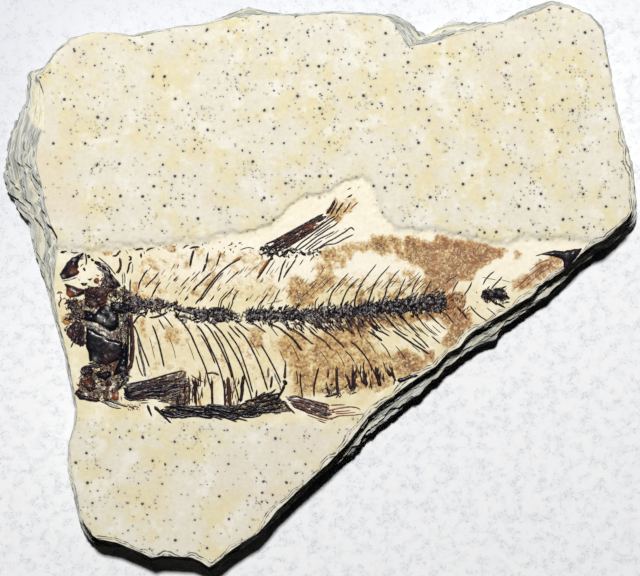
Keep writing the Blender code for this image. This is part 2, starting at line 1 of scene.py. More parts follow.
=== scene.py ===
import math

import bmesh
import bpy
import numpy as np
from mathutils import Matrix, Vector, geometry, noise
from mathutils.kdtree import KDTree


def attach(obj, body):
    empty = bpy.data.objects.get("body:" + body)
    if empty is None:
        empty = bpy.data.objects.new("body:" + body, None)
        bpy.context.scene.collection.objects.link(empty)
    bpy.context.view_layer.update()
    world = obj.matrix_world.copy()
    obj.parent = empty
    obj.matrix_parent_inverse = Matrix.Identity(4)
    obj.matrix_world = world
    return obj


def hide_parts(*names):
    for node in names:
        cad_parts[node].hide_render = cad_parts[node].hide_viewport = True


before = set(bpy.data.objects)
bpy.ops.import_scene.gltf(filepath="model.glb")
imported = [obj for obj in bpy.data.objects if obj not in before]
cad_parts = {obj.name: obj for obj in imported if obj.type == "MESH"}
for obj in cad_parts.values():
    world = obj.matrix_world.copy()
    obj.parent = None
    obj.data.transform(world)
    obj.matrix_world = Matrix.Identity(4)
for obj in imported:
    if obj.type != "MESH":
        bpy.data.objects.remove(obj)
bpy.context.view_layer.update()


# The slab of limestone. The real one is a lake limestone laid down in thin sheets, split along one of them
# by hand. Its rim is broken in ledges, and the top sheet is lifted off the fish, where the stone is
# yellower. Places are in millimetres as seen from above the slab, and place() moves them to the middle of
# its underside.
MM = 0.001
SLAB_MIDDLE = (-0.35, 0.05)
BED = 10.4
TOP_SHEET = 0.6
EYE_AXIS = (-0.475, -0.095)
EYE_HEIGHT = 348.5
EYE_TO_RIM = 337.8
LEDGE_HEIGHT = 3.4

def at(text):
    """Places in millimetres, read from text: a comma between places, and figures in tenths of a
    millimetre."""
    return [tuple(float(figure) / 10 for figure in spot.split()) for spot in text.split(",")]


def drawn(text):
    """Things drawn by places, a semicolon between them. Each has its values before a colon, with a slash
    between those that belong together, and then its places as at() reads them."""
    found = []
    for thing in text.split(";"):
        head, line = thing.split(":")
        values = [tuple(float(value) for value in part.split("/")) for part in head.split()]
        found.append((*[value if len(value) > 1 else value[0] for value in values], at(line)))
    return found


# The broken edge, clockwise from the upper left: the rim of the bed, and the ledge of the layers below it.
EDGE = at("""-540 400 -556 410,-528 412 -530 418,-507 444 -510 449,-478 469 -480 474,-434 481 -435 486,
    -400 480 -400 485,-360 475 -360 480,-320 484 -320 489,-280 492 -280 497,-220 499 -220 504,
    -196 507 -195 514,-156 512 -160 526,-130 515 -141 535,-95 517 -100 524,-40 516 -40 521,20 520 20 525,
    60 518 60 523,98 517 100 522,122 512 140 518,136 500 165 506,150 478 182 490,162 457 200 481,
    195 462 220 494,230 470 240 505,270 483 280 503,310 495 310 505,348 502 345 509,374 512 370 523,
    410 524 405 537,436 537 435 544,468 530 470 535,506 516 510 521,530 488 535 492,539 443 544 445,
    548 384 553 385,558 326 563 328,569 289 574 292,584 238 589 240,589 185 595 185,589 150 598 140,
    580 132 592 120,560 113 575 102,538 92 550 83,512 80 525 70,489 62 500 50,468 41 480 35,444 25 462 16,
    424 12 445 -5,410 0 430 -15,396 -17 410 -31,370 -32 380 -51,340 -51 350 -71,318 -64 330 -98,
    292 -78 300 -111,275 -93 280 -123,260 -114 254 -142,238 -125 230 -161,218 -148 205 -181,
    195 -162 190 -201,160 -186 155 -225,135 -206 130 -248,110 -224 105 -266,86 -246 83 -289,65 -274 60 -314,
    42 -303 30 -333,10 -334 2 -352,-16 -358 -20 -372,-44 -384 -40 -394,-84 -422 -80 -432,-122 -466 -120 -474,
    -153 -486 -150 -494,-178 -503 -175 -512,-202 -524 -200 -536,-216 -532 -216 -543,-230 -522 -230 -530,
    -250 -513 -250 -519,-305 -510 -305 -516,-326 -514 -327 -523,-358 -499 -360 -505,-388 -486 -390 -494,
    -424 -479 -430 -490,-438 -472 -444 -482,-457 -442 -463 -445,-467 -393 -473 -395,-478 -348 -484 -350,
    -480 -300 -485 -300,-468 -260 -473 -260,-465 -233 -470 -233,-473 -190 -479 -190,-485 -130 -491 -130,
    -500 -70 -507 -70,-507 -35 -516 -35,-511 0 -524 0,-509 30 -539 40,-504 65 -554 80,-503 96 -557 124,
    -516 120 -575 145,-527 160 -597 180,-534 200 -605 210,-544 240 -602 250,-542 270 -592 296,
    -530 305 -580 330,-528 330 -568 360,-530 370 -562 400""")

# Where the top sheet stops short of the fish, from the left edge to the right edge.
SHEET_STEP = at("""-560 79,-496 76,-450 71,-380 82,-300 86,-220 93,-175 109,-156 105,-127 111,-98 121,
    -78 140,-59 159,-30 176,11 182,34 199,77 212,92 202,102 179,114 140,140 114,220 109,280 96,329 87,362 88,
    381 99,423 94,470 96,516 86,580 80""")


def place(points, heights):
    """Places on the slab in millimetres, and heights over the table, as positions in metres."""
    points = np.asarray(points, float)
    result = np.empty((len(points), 3))
    result[:, 0] = points[:, 0] - SLAB_MIDDLE[0]
    result[:, 1] = points[:, 1] - SLAB_MIDDLE[1]
    result[:, 2] = heights
    return result * MM


def resample(line, step, closed=False):
    """Even stations along a measured line. Columns after the first two are carried along."""
    line = np.asarray(line, float)
    if closed:
        line = np.vstack([line, line[:1]])
    run = np.concatenate([[0.0], np.cumsum(np.hypot(*np.diff(line[:, :2], axis=0).T))])
    count = max(2, int(round(run[-1] / step)))
    stations = np.linspace(0.0, run[-1], count + 1)
    if closed:
        stations = stations[:-1]
    return np.column_stack([np.interp(stations, run, column) for column in line.T])


def waves(points, size, seed, octaves=3):
    """Smooth noise at each point, between about -1 and 1, whose largest swells are size millimetres
    apart."""
    return np.array([noise.fractal((p[0] / size, p[1] / size, seed), 1.0, 2.0, octaves) for p in points])


def inside(points, outline):
    """True for the points that lie in a closed outline."""
    x, y = points[:, 0], points[:, 1]
    found = np.zeros(len(points), bool)
    for (ax, ay), (bx, by) in zip(outline, list(outline[1:]) + [outline[0]]):
        if ay != by:
            crosses = (ay > y) != (by > y)
            found ^= crosses & (x < (bx - ax) * (y - ay) / (by - ay) + ax)
    return found


def distance(points, line, closed=False):
    """How far each point lies from a line of straight pieces."""
    line = np.asarray(line, float)
    ends = np.vstack([line[1:], line[:1]]) if closed else line[1:]
    nearest = np.full(len(points), 1e9)
    for a, b in zip(line, ends):
        along = b - a
        share = np.clip((points - a) @ along / max(along @ along, 1e-12), 0.0, 1.0)
        nearest = np.minimum(nearest, np.hypot(*(points - a - share[:, None] * along).T))
    return nearest


def soft_patch(points, outline, fade):
    """1 well inside the outline and 0 well outside, over a fading edge of this width in millimetres."""
    depth = distance(points, outline, True) * np.where(inside(points, outline), 1.0, -1.0)
    return np.clip(0.5 + depth / fade, 0.0, 1.0)


def smooth(share):
    share = np.clip(share, 0.0, 1.0)
    return share * share * (3.0 - 2.0 * share)


STATION_GAP = 0.38
LAMINA_COUNT = 22
rng = np.random.default_rng(11)
edge = resample(EDGE, STATION_GAP, closed=True)
rim, ledge = edge[:, :2], edge[:, 2:]
run = np.arange(len(rim)) * STATION_GAP
turn = run / run[-1] * 2.0 * math.pi
ring = np.column_stack([np.cos(turn), np.sin(turn)]) * run[-1] / (2.0 * math.pi)
tangent = np.roll(rim, -3, axis=0) - np.roll(rim, 3, axis=0)
outward = np.column_stack([-tangent[:, 1], tangent[:, 0]])
outward /= np.hypot(*outward.T)[:, None]
rim = rim + outward * (0.10 * waves(ring, 3.0, 1.5) + 0.05 * waves(ring, 0.9, 2.5))[:, None]
push = 1.0 + (EYE_HEIGHT - EYE_TO_RIM - LEDGE_HEIGHT) / EYE_TO_RIM
ledge = np.array(EYE_AXIS) + (ledge - np.array(EYE_AXIS)) * push

step_line = resample(SHEET_STEP, 0.3)
step_line[:, 1] += 0.22 * waves(step_line, 2.4, 4.0, 4)
sheet_area = [tuple(p) for p in step_line] + [(80.0, 70.0), (-80.0, 70.0)]
step_tree = KDTree(len(step_line))
for index, p in enumerate(step_line):
    step_tree.insert((p[0], p[1], 0.0), index)
step_tree.balance()


def over_step(points):
    """How far each point lies above the step on the side of the top sheet, less than 0 on the fish's
    side."""
    near = np.array([step_tree.find((p[0], p[1], 0.0))[2] for p in points])
    return np.where(inside(points, sheet_area), near, -near)


rim_top = BED + TOP_SHEET * smooth(0.5 + over_step(rim) / 1.5) - 0.12 + 0.08 * waves(ring, 2.2, 7.0)
lamina_heights = np.concatenate([[0.0], np.cumsum(rng.uniform(0.4, 1.4, LAMINA_COUNT))])
lamina_heights *= (BED + TOP_SHEET) / lamina_heights[-1]
reach_heights = [0.0, 0.8, 2.1, 3.4, 4.7, 5.9, 7.2, 9.0, 11.0]
reach_shares = [0.66, 0.72, 0.92, 1.0, 0.66, 0.5, 0.22, 0.05, 0.0]
steep_shares = [0.8, 0.9, 1.0, 1.0, 0.97, 0.72, 0.3, 0.1, 0.0]
steep = smooth((rim[:, 0] + 14.0) / 6.0) * smooth((13.0 - rim[:, 1]) / 4.0)
cream_ledge = smooth((5.0 - np.abs(rim[:, 1] - 34.0)) / 2.0) * (rim[:, 0] < -50.0)
WIDEST_HEIGHT = 3.6
rows, row_tones_and_painted_shade, row_fibres = [], [], []
gap_wide = np.hypot(*(ledge - rim).T)
way = np.where(gap_wide[:, None] > 0.3, (ledge - rim) / np.maximum(gap_wide, 0.3)[:, None], outward)
below = np.full(len(rim), 99.0)
for lamina in range(LAMINA_COUNT):
    low, high = lamina_heights[lamina], lamina_heights[lamina + 1]
    middle = (low + high) / 2
    share = np.interp(middle, reach_heights, reach_shares) * (1.0 - steep)
    share = share + np.interp(middle, reach_heights, steep_shares) * steep
    loose = min(1.0, (BED + TOP_SHEET - middle) / 3.0)
    wander = 0.34 * waves(ring, 9.0, 20.0 + lamina, 3) + 0.2 * waves(ring, 2.2, 50.0 + lamina, 3)
    chips = (0.16 + 0.16 * steep) * waves(ring, 1.7, 80.0 + lamina, 4) - 0.02
    reach = np.clip(share + loose * wander * 0.8, -0.03, 1.04) * gap_wide + loose * chips + 0.03
    if middle > WIDEST_HEIGHT:
        reach = np.minimum(reach, below + 0.015)
    below = reach
    drawn_in = (0.05 + 0.1 * np.abs(waves(ring, 1.2, 110.0 + lamina))) * loose
    tone = np.clip(0.55 + 0.55 * waves(ring, 24.0, 140.0 + lamina) + rng.uniform(-0.25, 0.25), 0.0, 1.0)
    if middle > 5.0:
        tone = tone * (1.0 - cream_ledge)
    for out, height in ((reach, low + 0.02), (reach - drawn_in, high - 0.02)):
        rows.append((rim + way * out[:, None], height / (BED + TOP_SHEET) * rim_top))
        # Painted shade: on the steep lower right side the low laminae are marked above 1, which colours them
        # nearly black as the shadow there.
        row_tones_and_painted_shade.append(np.clip(tone + steep * smooth((5.6 - middle) / 1.2), 0.0, 2.0))
        row_fibres.append(np.column_stack([ring, out + 0.8 * (BED + TOP_SHEET - height)]))
rows[0] = (rows[0][0], np.zeros(len(rim)))
rows[-1] = (rim, rim_top)

# The top face: points closer together in the fish's bed, and a small scarp along the step.
FINE_GAP = 0.36
COARSE_GAP = 0.62
FISH_AREA = at("-515 95,-200 110,60 225,120 150,520 120,520 -300,-515 -300")


def scattered(gap, outline, seed):
    """Points spread evenly in an outline, each moved a little off its place in a net of triangles."""
    jitter = np.random.default_rng(seed)
    outline = np.asarray(outline, float)
    low, high = outline.min(0), outline.max(0)
    columns = np.arange(low[0], high[0], gap)
    lines = np.arange(low[1], high[1], gap * 0.866)
    x, y = np.meshgrid(columns, lines)
    x = x + (np.arange(len(lines)) % 2 * gap / 2)[:, None]
    points = np.column_stack([x.ravel(), y.ravel()])
    points += jitter.uniform(-0.25, 0.25, points.shape) * gap
    return points[inside(points, [tuple(p) for p in outline])]


rim_list = [tuple(p) for p in rim]
fine = scattered(FINE_GAP, FISH_AREA, 3)
coarse = scattered(COARSE_GAP, rim_list, 4)
coarse = coarse[~inside(coarse, FISH_AREA)]
net = np.vstack([fine, coarse])
rim_tree = KDTree(len(rim))
for index, p in enumerate(rim):
    rim_tree.insert((p[0], p[1], 0.0), index)
rim_tree.balance()
net = net[inside(net, rim_list)]
rim_gap = np.array([rim_tree.find((p[0], p[1], 0.0))[2] for p in net])
net = net[rim_gap > 0.22]
flat = [Vector(p) for p in rim] + [Vector(p) for p in net]
loop = [(i, (i + 1) % len(rim)) for i in range(len(rim))]
found, _, triangles, origins, _, _ = geometry.delaunay_2d_cdt(flat, loop, [], 1, 1e-5)
old = np.array([o[0] if o else -1 for o in origins])
points = np.array([tuple(p) for p in found])
above = over_step(points)
rim_gap = np.array([rim_tree.find((p[0], p[1], 0.0))[2] for p in points])
bank = np.interp(points[:, 0], [-50.0, -24.0, -16.0, 8.0, 14.0, 58.0], [2.6, 2.2, 0.8, 0.8, 1.6, 1.8])
on_sheet = smooth(0.5 + above / bank + 0.35 * waves(points, 0.9, 12.0, 3))
in_bed = np.clip(-above / 1.5, 0.0, 1.0) * smooth((points[:, 1] + 27.0 + 2.0 * waves(points, 9.0,
    3.0)) / 3.0)
heights = BED + TOP_SHEET * on_sheet
heights += (0.09 * waves(points, 16.0, 5.0) + 0.03 * waves(points, 3.0, 6.0, 4)) * (1.0 - 0.55 * in_bed)
dressed = np.exp(-np.maximum(-above, 0.0) / 4.0) * (above < 0.0) * np.clip((points[:, 0] + 20.0) / 15.0,
    0.25, 1.0)
chisel = np.array([noise.fractal(((p[0] + p[1]) / 3.0, (p[0] - p[1]) / 0.8, 8.0), 1.0, 2.0,
    3) for p in points])
heights -= dressed * (0.05 + 0.1 * chisel)
heights -= in_bed * 0.05 * np.abs(waves(points, 1.3, 9.0, 3))
heights -= 0.2 * np.exp(-rim_gap / 0.4) * (0.6 + 0.8 * waves(points, 2.0, 10.0))
is_rim = (old >= 0) & (old < len(rim))
heights[is_rim] = rim_top[old[is_rim]]

# The brown film of skin and scales, and the dark smears round the bones: colour only. Each patch has its
# strength, the width of its fading edge and its outline.
FILM = drawn(""".95 1.3:155 98,165 99,185 92,210 83,218 98,230 97,250 90,280 89,300 88,320 78,350 70,340 58,
    320 50,305 42,295 32,285 15,260 15,250 0,230 -12,200 -18,186 0,195 20,190 35,175 38,160 50,150 60;
    1.1 1.5:220 93,250 88,240 65,220 70;1.1 1.5:270 86,300 86,345 69,320 60,280 70;1.1 1.5:205 30,230 35,
    245 15,230 -10,200 -16,192 5;.72 1.6:90 98,120 98,155 98,155 55,130 63,95 63;.42 1.6:85 65,150 55,160 35,
    190 25,190 0,150 5,150 40;.58 1.6:-18 50,0 75,40 86,70 84,94 83,92 68,55 65,48 35,25 30,15 0,-8 -5,
    -15 20;.75 1.4:-65 25,-50 23,-30 10,-10 15,8 22,12 -5,-5 -12,-15 -34,-63 -36,-68 -10,-65 10;
    1.05 1.2:-58 -8,-30 -6,-16 -14,-14 -36,-58 -38;.34 2:-10 25,60 30,190 26,210 -20,120 -30,0 -45;
    .62 1:120 -3,160 -6,170 -20,125 -26;1.1 .8:65 -32,82 -30,79 -7,69 -6;.95 1.1:220 -10,250 -8,270 -11,
    273 -30,260 -45,280 -50,286 -65,270 -85,255 -100,250 -113,234 -115,223 -108,235 -90,240 -75,225 -60,
    210 -48,226 -30;.9 1.2:80 -50,130 -46,180 -44,220 -42,210 -62,190 -62,170 -70,140 -74,120 -73,100 -68,
    80 -89,65 -90,55 -75,40 -64;.64 1.8:-95 -110,-75 -80,-40 -90,0 -86,50 -76,85 -82,105 -103,110 -120,
    135 -123,160 -112,170 -130,198 -145,190 -164,175 -170,140 -168,130 -186,90 -198,40 -200,-30 -204,
    -60 -203,-63 -155,-85 -130;.88 1.2:135 -124,170 -120,196 -140,186 -162,150 -152,125 -142;.85 1.2:50 -88,
    90 -103,96 -136,70 -126,48 -115;.8 1:95 -199,120 -181,128 -188,100 -201;.95 .9:190 -120,216 -120,
    210 -139,194 -137;.85 1:-22 -86,4 -93,6 -110,-16 -107;.8 1:-66 -76,-40 -88,-42 -108,-60 -98;
    .78 1.2:0 -120,30 -124,30 -154,6 -150;.74 1:-60 -130,-36 -126,-44 -180,-58 -184;.62 1.2:-300 -75,
    -272 -80,-275 -110,-300 -105;.66 1.2:-138 -78,-115 -78,-113 -116,-136 -114;.5 1.5:-355 -55,-334 -58,
    -334 -95,-350 -95;.4 1.5:-330 -110,-314 -110,-308 -160,-326 -160;.6 1.2:-365 16,-350 14,-346 -16,
    -364 -12;.6 1.4:-360 -10,-330 -12,-310 -18,-330 -28;.66 1.4:452 62,430 62,410 50,394 30,380 24,366 9,
    369 -10,394 -4,410 8,427 22,448 34,459 48;1.1 .8:426 50,406 34,396 19,406 18,424 32,444 46,442 54;
    1.1 .8:382 10,374 4,376 -6,388 -1;.5 1:354 19,374 12,375 -12,360 -6;.45 1:364 72,382 68,380 52,364 52;
    .55 1:-300 80,-276 80,-276 66,-300 66;.55 1:-202 70,-183 70,-183 54,-202 54;.55 1:-242 74,-223 74,
    -223 58,-242 58;.6 .8:-426 72,-398 72,-396 61,-416 62;.5 1:8 146,24 170,64 172,78 162,40 136,34 124,
    10 134;.7 .8:-499 -54,-484 -51,-480 -68,-494 -71;.55 .8:-468 -182,-446 -180,-449 -194,-466 -192;
    .5 1:-380 -218,-346 -220,-346 -236,-380 -230;.3 3:-360 60,-100 70,-80 -30,-360 -20;.2 3:-360 -60,-80 -70,
    -80 -200,-340 -180""")
SMEARS = drawn(""".68 .9:-488 -23,-460 -18,-452 2,-425 4,-418 24,-432 49,-420 46,-395 20,-382 6,-365 -3,
    -345 -15,-345 -48,-364 -60,-363 -155,-370 -180,-385 -200,-383 -226,-420 -218,-470 -202,-465 -185,
    -460 -160,-446 -146,-450 -115,-465 -109,-488 -90,-490 -70,-498 -60,-480 -45;.62 .9:-140 -40,-60 -40,
    20 -35,80 -29,155 -19,200 -14,230 -6,240 -25,220 -46,150 -52,90 -56,84 -84,60 -88,20 -79,-40 -76,-90 -72,
    -140 -68;.5 .9:-360 -18,-300 -20,-240 -38,-180 -37,-156 -46,-160 -64,-240 -68,-270 -50,-320 -46,-360 -50;
    .75 1:-376 -194,-368 -182,-330 -174,-290 -163,-260 -157,-252 -180,-246 -224,-284 -226,-326 -213,
    -364 -217,-380 -206;.42 1.4:-260 -158,-220 -160,-195 -161,-200 -172,-220 -190,-236 -226,-260 -224;
    .85 .8:-306 -224,-260 -222,-210 -224,-150 -220,-110 -202,-84 -206,-60 -226,-60 -238,-120 -244,-180 -250,
    -260 -246,-300 -246;.5 .8:-186 -170,-172 -170,-168 -226,-188 -228;.4 .8:-244 -180,-226 -190,-226 -230,
    -246 -230;.55 .7:-116 58,-114 82,-80 98,-40 120,0 142,10 136,0 126,-30 108,-60 88,-50 72,0 72,0 62,
    -50 56;.36 1:-60 80,-30 106,0 124,26 140,44 126,58 110,40 92,0 76;.6 .8:-67 -208,-35 -211,12 -222,
    18 -236,15 -250,-10 -246,-50 -229;.3 1:14 -222,50 -222,70 -230,76 -242,30 -250,14 -249;.55 .8:2 -180,
    16 -186,66 -186,64 -202,20 -212,-2 -210;.5 .8:300 -26,310 -1,344 2,359 -22,346 -40,320 -29""")
film = np.zeros(len(points))
for strength, fade, outline in FILM:
    film = np.maximum(film, strength * soft_patch(points, outline, fade))
film *= np.clip(-above / 0.8, 0.0, 1.0)
smear = np.zeros(len(points))
for strength, fade, outline in SMEARS:
    smear = np.maximum(smear, strength * soft_patch(points, outline, fade))
flaked = np.interp(rim_gap, [0.0, 3.0], [0.0, 1.0])
lower_rim = smooth((points[:, 0] - points[:, 1] - 22.0) / 6.0) + smooth((-44.0 - points[:, 1]) / 2.0)
flaked = 1.0 - (1.0 - flaked) * np.clip(lower_rim, 0.0, 1.0)
fresh = dressed * np.clip(1.0 - (film + smear) * 1.5, 0.0, 1.0)

side_count = len(rim) * len(rows)
corner_places = [place(spot, height) for spot, height in rows]
top_index = np.where(is_rim, side_count - len(rim) + old, -1)
inner = np.flatnonzero(~is_rim)
top_index[inner] = side_count + np.arange(len(inner))
corners = np.vstack(corner_places + [place(points[inner], heights[inner])])
faces = []
wide = len(rim)
for row in range(len(rows) - 1):
    for i in range(wide):
        j = (i + 1) % wide
        a, b, c, d = row * wide + i, row * wide + j, (row + 1) * wide + j, (row + 1) * wide + i
        faces.append((a, d, c, b))
faces.extend(tuple(int(top_index[i]) for i in triangle) for triangle in triangles)
faces.append(tuple(range(wide)))
slab_mesh = bpy.data.meshes.new("limestone_matrix")
slab_mesh.from_pydata(corners.tolist(), [], faces)
for name, on_top, on_side in (("film", film, 0.0), ("smear", smear, 0.0), ("no_dots", in_bed, 1.0),
    ("fresh", fresh, 0.0),
                              ("bed", in_bed, 0.0), ("flaked", flaked, 1.0)):
    values = np.concatenate([np.full(side_count, on_side), on_top[inner]])
    values[side_count - wide:side_count][old[is_rim]] = on_top[is_rim]
    slab_mesh.attributes.new(name, "FLOAT", "POINT").data.foreach_set("value", values.astype(np.float32))
# The lamina mark is each layer's grey tone, and above 1 it is the painted shade of the steep lower side.
values = np.concatenate(row_tones_and_painted_shade + [np.full(len(inner), 0.0)])
values[side_count - wide:side_count] = 0.0
slab_mesh.attributes.new("lamina", "FLOAT", "POINT").data.foreach_set("value", values.astype(np.float32))
fibre_spots = np.vstack(row_fibres + [np.zeros((len(inner), 3))]).astype(np.float32)
slab_mesh.attributes.new("fibre_spot", "FLOAT_VECTOR", "POINT").data.foreach_set("vector",
    fibre_spots.ravel())
values = np.concatenate([np.ones(side_count - wide), np.full(wide, 0.4), np.zeros(len(inner))])
slab_mesh.attributes.new("broken", "FLOAT", "POINT").data.foreach_set("value", values.astype(np.float32))
work = bmesh.new()
work.from_mesh(slab_mesh)
bmesh.ops.recalc_face_normals(work, faces=work.faces)
work.to_mesh(slab_mesh)
work.free()
slab_mesh.shade_smooth()
slab_mesh.set_sharp_from_angle(angle=0.7)
slab = bpy.data.objects.new("limestone_matrix", slab_mesh)
bpy.context.scene.collection.objects.link(slab)


def linear(code):
    """A colour written as sRGB hex, in the linear values that a shader takes."""
    parts = [int(code[i:i + 2], 16) / 255 for i in (1, 3, 5)]
    return (*[p / 12.92 if p <= 0.04045 else ((p + 0.055) / 1.055) ** 2.4 for p in parts], 1.0)


EASED = {"interpolation_type": "SMOOTHSTEP"}


def add(tree, kind, *inputs, give=None, stops=(), **settings):
    """Adds a node with its settings. Its inputs are values or sockets to link, in the order of the node's
    sockets or in a dictionary by name, and a colour is sRGB hex. A ramp has stops. Gives an output."""
    node = tree.nodes.new(kind)
    for name, value in settings.items():
        setattr(node, name, value)
    sockets = [socket for socket in node.inputs if socket.enabled]
    by_name = inputs[0] if inputs and isinstance(inputs[0], dict) else dict(enumerate(inputs))
    for key, value in by_name.items():
        socket = sockets[key] if isinstance(key, int) else next(s for s in sockets if s.name == key)
        if isinstance(value, bpy.types.NodeSocket):
            tree.links.new(value, socket)
        elif str(value).startswith("#"):
            socket.default_value = linear(value)
        else:
            socket.default_value = value
    for _ in stops[2:]:
        node.color_ramp.elements.new(0.5)
    for index, (position, code) in enumerate(stops):
        node.color_ramp.elements[index].position = position
        node.color_ramp.elements[index].color = linear(code)
    if give == "node":
        return node
    return next(s for s in node.outputs if s.enabled and (give is None or s.name == give))


def new_material(name):
    """An empty material and its tree."""
    material = bpy.data.materials.new(name)
    material.use_nodes = True
    material.node_tree.nodes.clear()
    return material, material.node_tree


PER_MM = 1000.0
# Lake limestone, split and scraped: a dull, chalky stone whose cream goes to yellow and grey in soft clouds.
stone, tree = new_material("split_lake_limestone")
spot = add(tree, "ShaderNodeTexCoord", give="Object")
clouds = add(tree, "ShaderNodeTexNoise", spot, PER_MM / 9.0, 5.0, 0.66)
patches, blush, grain, clusters, blots, glints, olive, arcs, streaky, flake_noise, pits = [
    add(tree, "ShaderNodeTexNoise", spot, seed, PER_MM / size, detail, rough, noise_dimensions="4D")
    for seed, size, detail, rough in (
        (3.0, 5.0, 5.0, 0.65), (9.0, 17.0, 3.0, 0.5), (5.0, 0.8, 4.0, 0.7), (17.0, 4.0, 2.0, 0.6),
        (2.0, 1.5, 6.0, 0.72), (7.0, 0.46, 4.0, 0.68), (21.0, 3.0, 4.0, 0.6), (31.0, 0.9, 3.0, 0.6),
        (12.0, 1.5, 5.0, 0.62), (41.0, 5.0, 2.5, 0.45), (1.0, 0.45, 4.0, 0.65))]
colour = add(tree, "ShaderNodeMix", add(tree, "ShaderNodeMapRange", clouds, 0.42, 0.62, **EASED), "#E8E3D3",
    "#E7DCB4", data_type="RGBA")
colour = add(tree, "ShaderNodeMix", add(tree, "ShaderNodeMapRange", patches, 0.52, 0.62, 0.0, 0.7, **EASED),
    colour, "#F1EFE6", data_type="RGBA")
colour = add(tree, "ShaderNodeMix", add(tree, "ShaderNodeMapRange", patches, 0.46, 0.38, 0.0, 0.5, **EASED),
    colour, "#E2DCCB", data_type="RGBA")
colour = add(tree, "ShaderNodeMix", add(tree, "ShaderNodeMapRange", blush, 0.54, 0.66, 0.0, 0.55, **EASED),
    colour, "#E5DACA", data_type="RGBA")
cream = add(tree, "ShaderNodeValToRGB", patches, stops=[(0.38, "#E6D8A8"), (0.5, "#EFE4C0"),
    (0.62, "#F8F2DC")])
along = add(tree, "ShaderNodeSeparateXYZ", spot, give="node")
whiter = add(tree, "ShaderNodeMath", add(tree, "ShaderNodeMapRange", along.outputs["Y"], -2.0 * MM, 3.0 * MM,
    **EASED), add(tree, "ShaderNodeMapRange", along.outputs["X"], -34.0 * MM, -26.0 * MM, 0.25, 0.8,
    **EASED), operation="MULTIPLY")
cream = add(tree, "ShaderNodeMix", whiter, cream, "#FCF6E8", data_type="RGBA")
colour = add(tree, "ShaderNodeMix", add(tree, "ShaderNodeMath",
    add(tree, "ShaderNodeAttribute", attribute_name="bed", give="Fac"), 0.85, operation="MULTIPLY"), colour,
    cream, data_type="RGBA")
colour = add(tree, "ShaderNodeMix", add(tree, "ShaderNodeMath",
    add(tree, "ShaderNodeAttribute", attribute_name="fresh", give="Fac"), 0.8, operation="MULTIPLY"), colour,
    "#F6EFD9", data_type="RGBA")
colour = add(tree, "ShaderNodeMix", add(tree, "ShaderNodeMapRange", grain, 0.4, 0.62, 0.0, 0.16, **EASED),
    colour, "#DBD2B8", data_type="RGBA", blend_type="MULTIPLY")

dots_share = add(tree, "ShaderNodeMath", 1.0, add(tree, "ShaderNodeAttribute", attribute_name="no_dots",
    give="Fac"), operation="SUBTRACT")
ragged = add(tree, "ShaderNodeTexNoise", spot, PER_MM / 0.5, 2.0, give="Color")
ragged = add(tree, "ShaderNodeVectorMath", ragged, (0.3 * MM, 0.3 * MM, 0.0), spot, operation="MULTIPLY_ADD")
for cell, small, large, kept, seed_shift in ((2.1, 0.09, 0.29, 0.55, 0.0), (1.15, 0.06, 0.2, 0.42, 0.31),
                                             (0.62, 0.04, 0.12, 0.4, 0.57)):
    moved = add(tree, "ShaderNodeVectorMath", ragged, (seed_shift, seed_shift, 0.0), operation="ADD")
    cells = add(tree, "ShaderNodeTexVoronoi", moved, PER_MM / cell, voronoi_dimensions="2D", give="node")
    draw = add(tree, "ShaderNodeSeparateColor", cells.outputs["Color"], give="node")
    wide_mm = add(tree, "ShaderNodeMath", cells.outputs["Distance"], cell, operation="MULTIPLY")
    size = add(tree, "ShaderNodeMapRange", add(tree, "ShaderNodeMath", draw.outputs["Red"], 1.8,
        operation="POWER"), 0.0, 1.0, small, large, **EASED)
    if cell > 2.0:
        crowd = add(tree, "ShaderNodeMapRange", clusters, 0.36, 0.62, kept * 0.45, kept * 1.15, **EASED)
    else:
        crowd = add(tree, "ShaderNodeMapRange", clusters, 0.52, 0.64, kept * 0.08, kept * 0.95, **EASED)
    stays = add(tree, "ShaderNodeMath", add(tree, "ShaderNodeMath", draw.outputs["Green"], crowd,
        operation="LESS_THAN"), dots_share, operation="MULTIPLY")
    past = add(tree, "ShaderNodeMath", wide_mm, size, operation="SUBTRACT")
    spotted = add(tree, "ShaderNodeMath", add(tree, "ShaderNodeMapRange", past, 0.06, -0.05, 0.0, 0.94,
        **EASED), stays, operation="MULTIPLY")
    halo = add(tree, "ShaderNodeMath", add(tree, "ShaderNodeMapRange", past, 0.5, 0.0, 0.0, 0.2, **EASED),
        stays, operation="MULTIPLY")
    colour = add(tree, "ShaderNodeMix", halo, colour, "#8F8272", data_type="RGBA")
    colour = add(tree, "ShaderNodeMix", spotted, colour, "#352E36", data_type="RGBA")

# The film has the grain of small scales: each is lighter in its middle, and gold where it is thin.
film_mark = add(tree, "ShaderNodeAttribute", attribute_name="film", give="Fac")
scale_cells = add(tree, "ShaderNodeTexVoronoi", ragged, PER_MM / 0.62, voronoi_dimensions="2D")
thick = add(tree, "ShaderNodeMath", film_mark, add(tree, "ShaderNodeMath",
    add(tree, "ShaderNodeMath", blots, 0.5, operation="SUBTRACT"), 2.3, operation="MULTIPLY"),
    operation="ADD")
thick = add(tree, "ShaderNodeMath", thick, add(tree, "ShaderNodeMath",
    add(tree, "ShaderNodeMath", patches, 0.5, operation="SUBTRACT"), 1.5, operation="MULTIPLY"),
    operation="ADD")
grainy = add(tree, "ShaderNodeMath", thick, add(tree, "ShaderNodeMath",
    add(tree, "ShaderNodeMath", scale_cells, 0.42, operation="SUBTRACT"), 0.6, operation="MULTIPLY"),
    operation="ADD")
film_colour = add(tree, "ShaderNodeValToRGB", grainy, stops=[(0.1, "#EADAAC"), (0.35, "#DCBF82"),
    (0.6, "#C8A062"), (0.8, "#B0834E"), (0.93, "#94633A"), (1.0, "#7A4D2C")])
film_colour = add(tree, "ShaderNodeMix", add(tree, "ShaderNodeMapRange", olive, 0.5, 0.62, 0.0, 0.45,
    **EASED), film_colour, "#A8925E", data_type="RGBA")
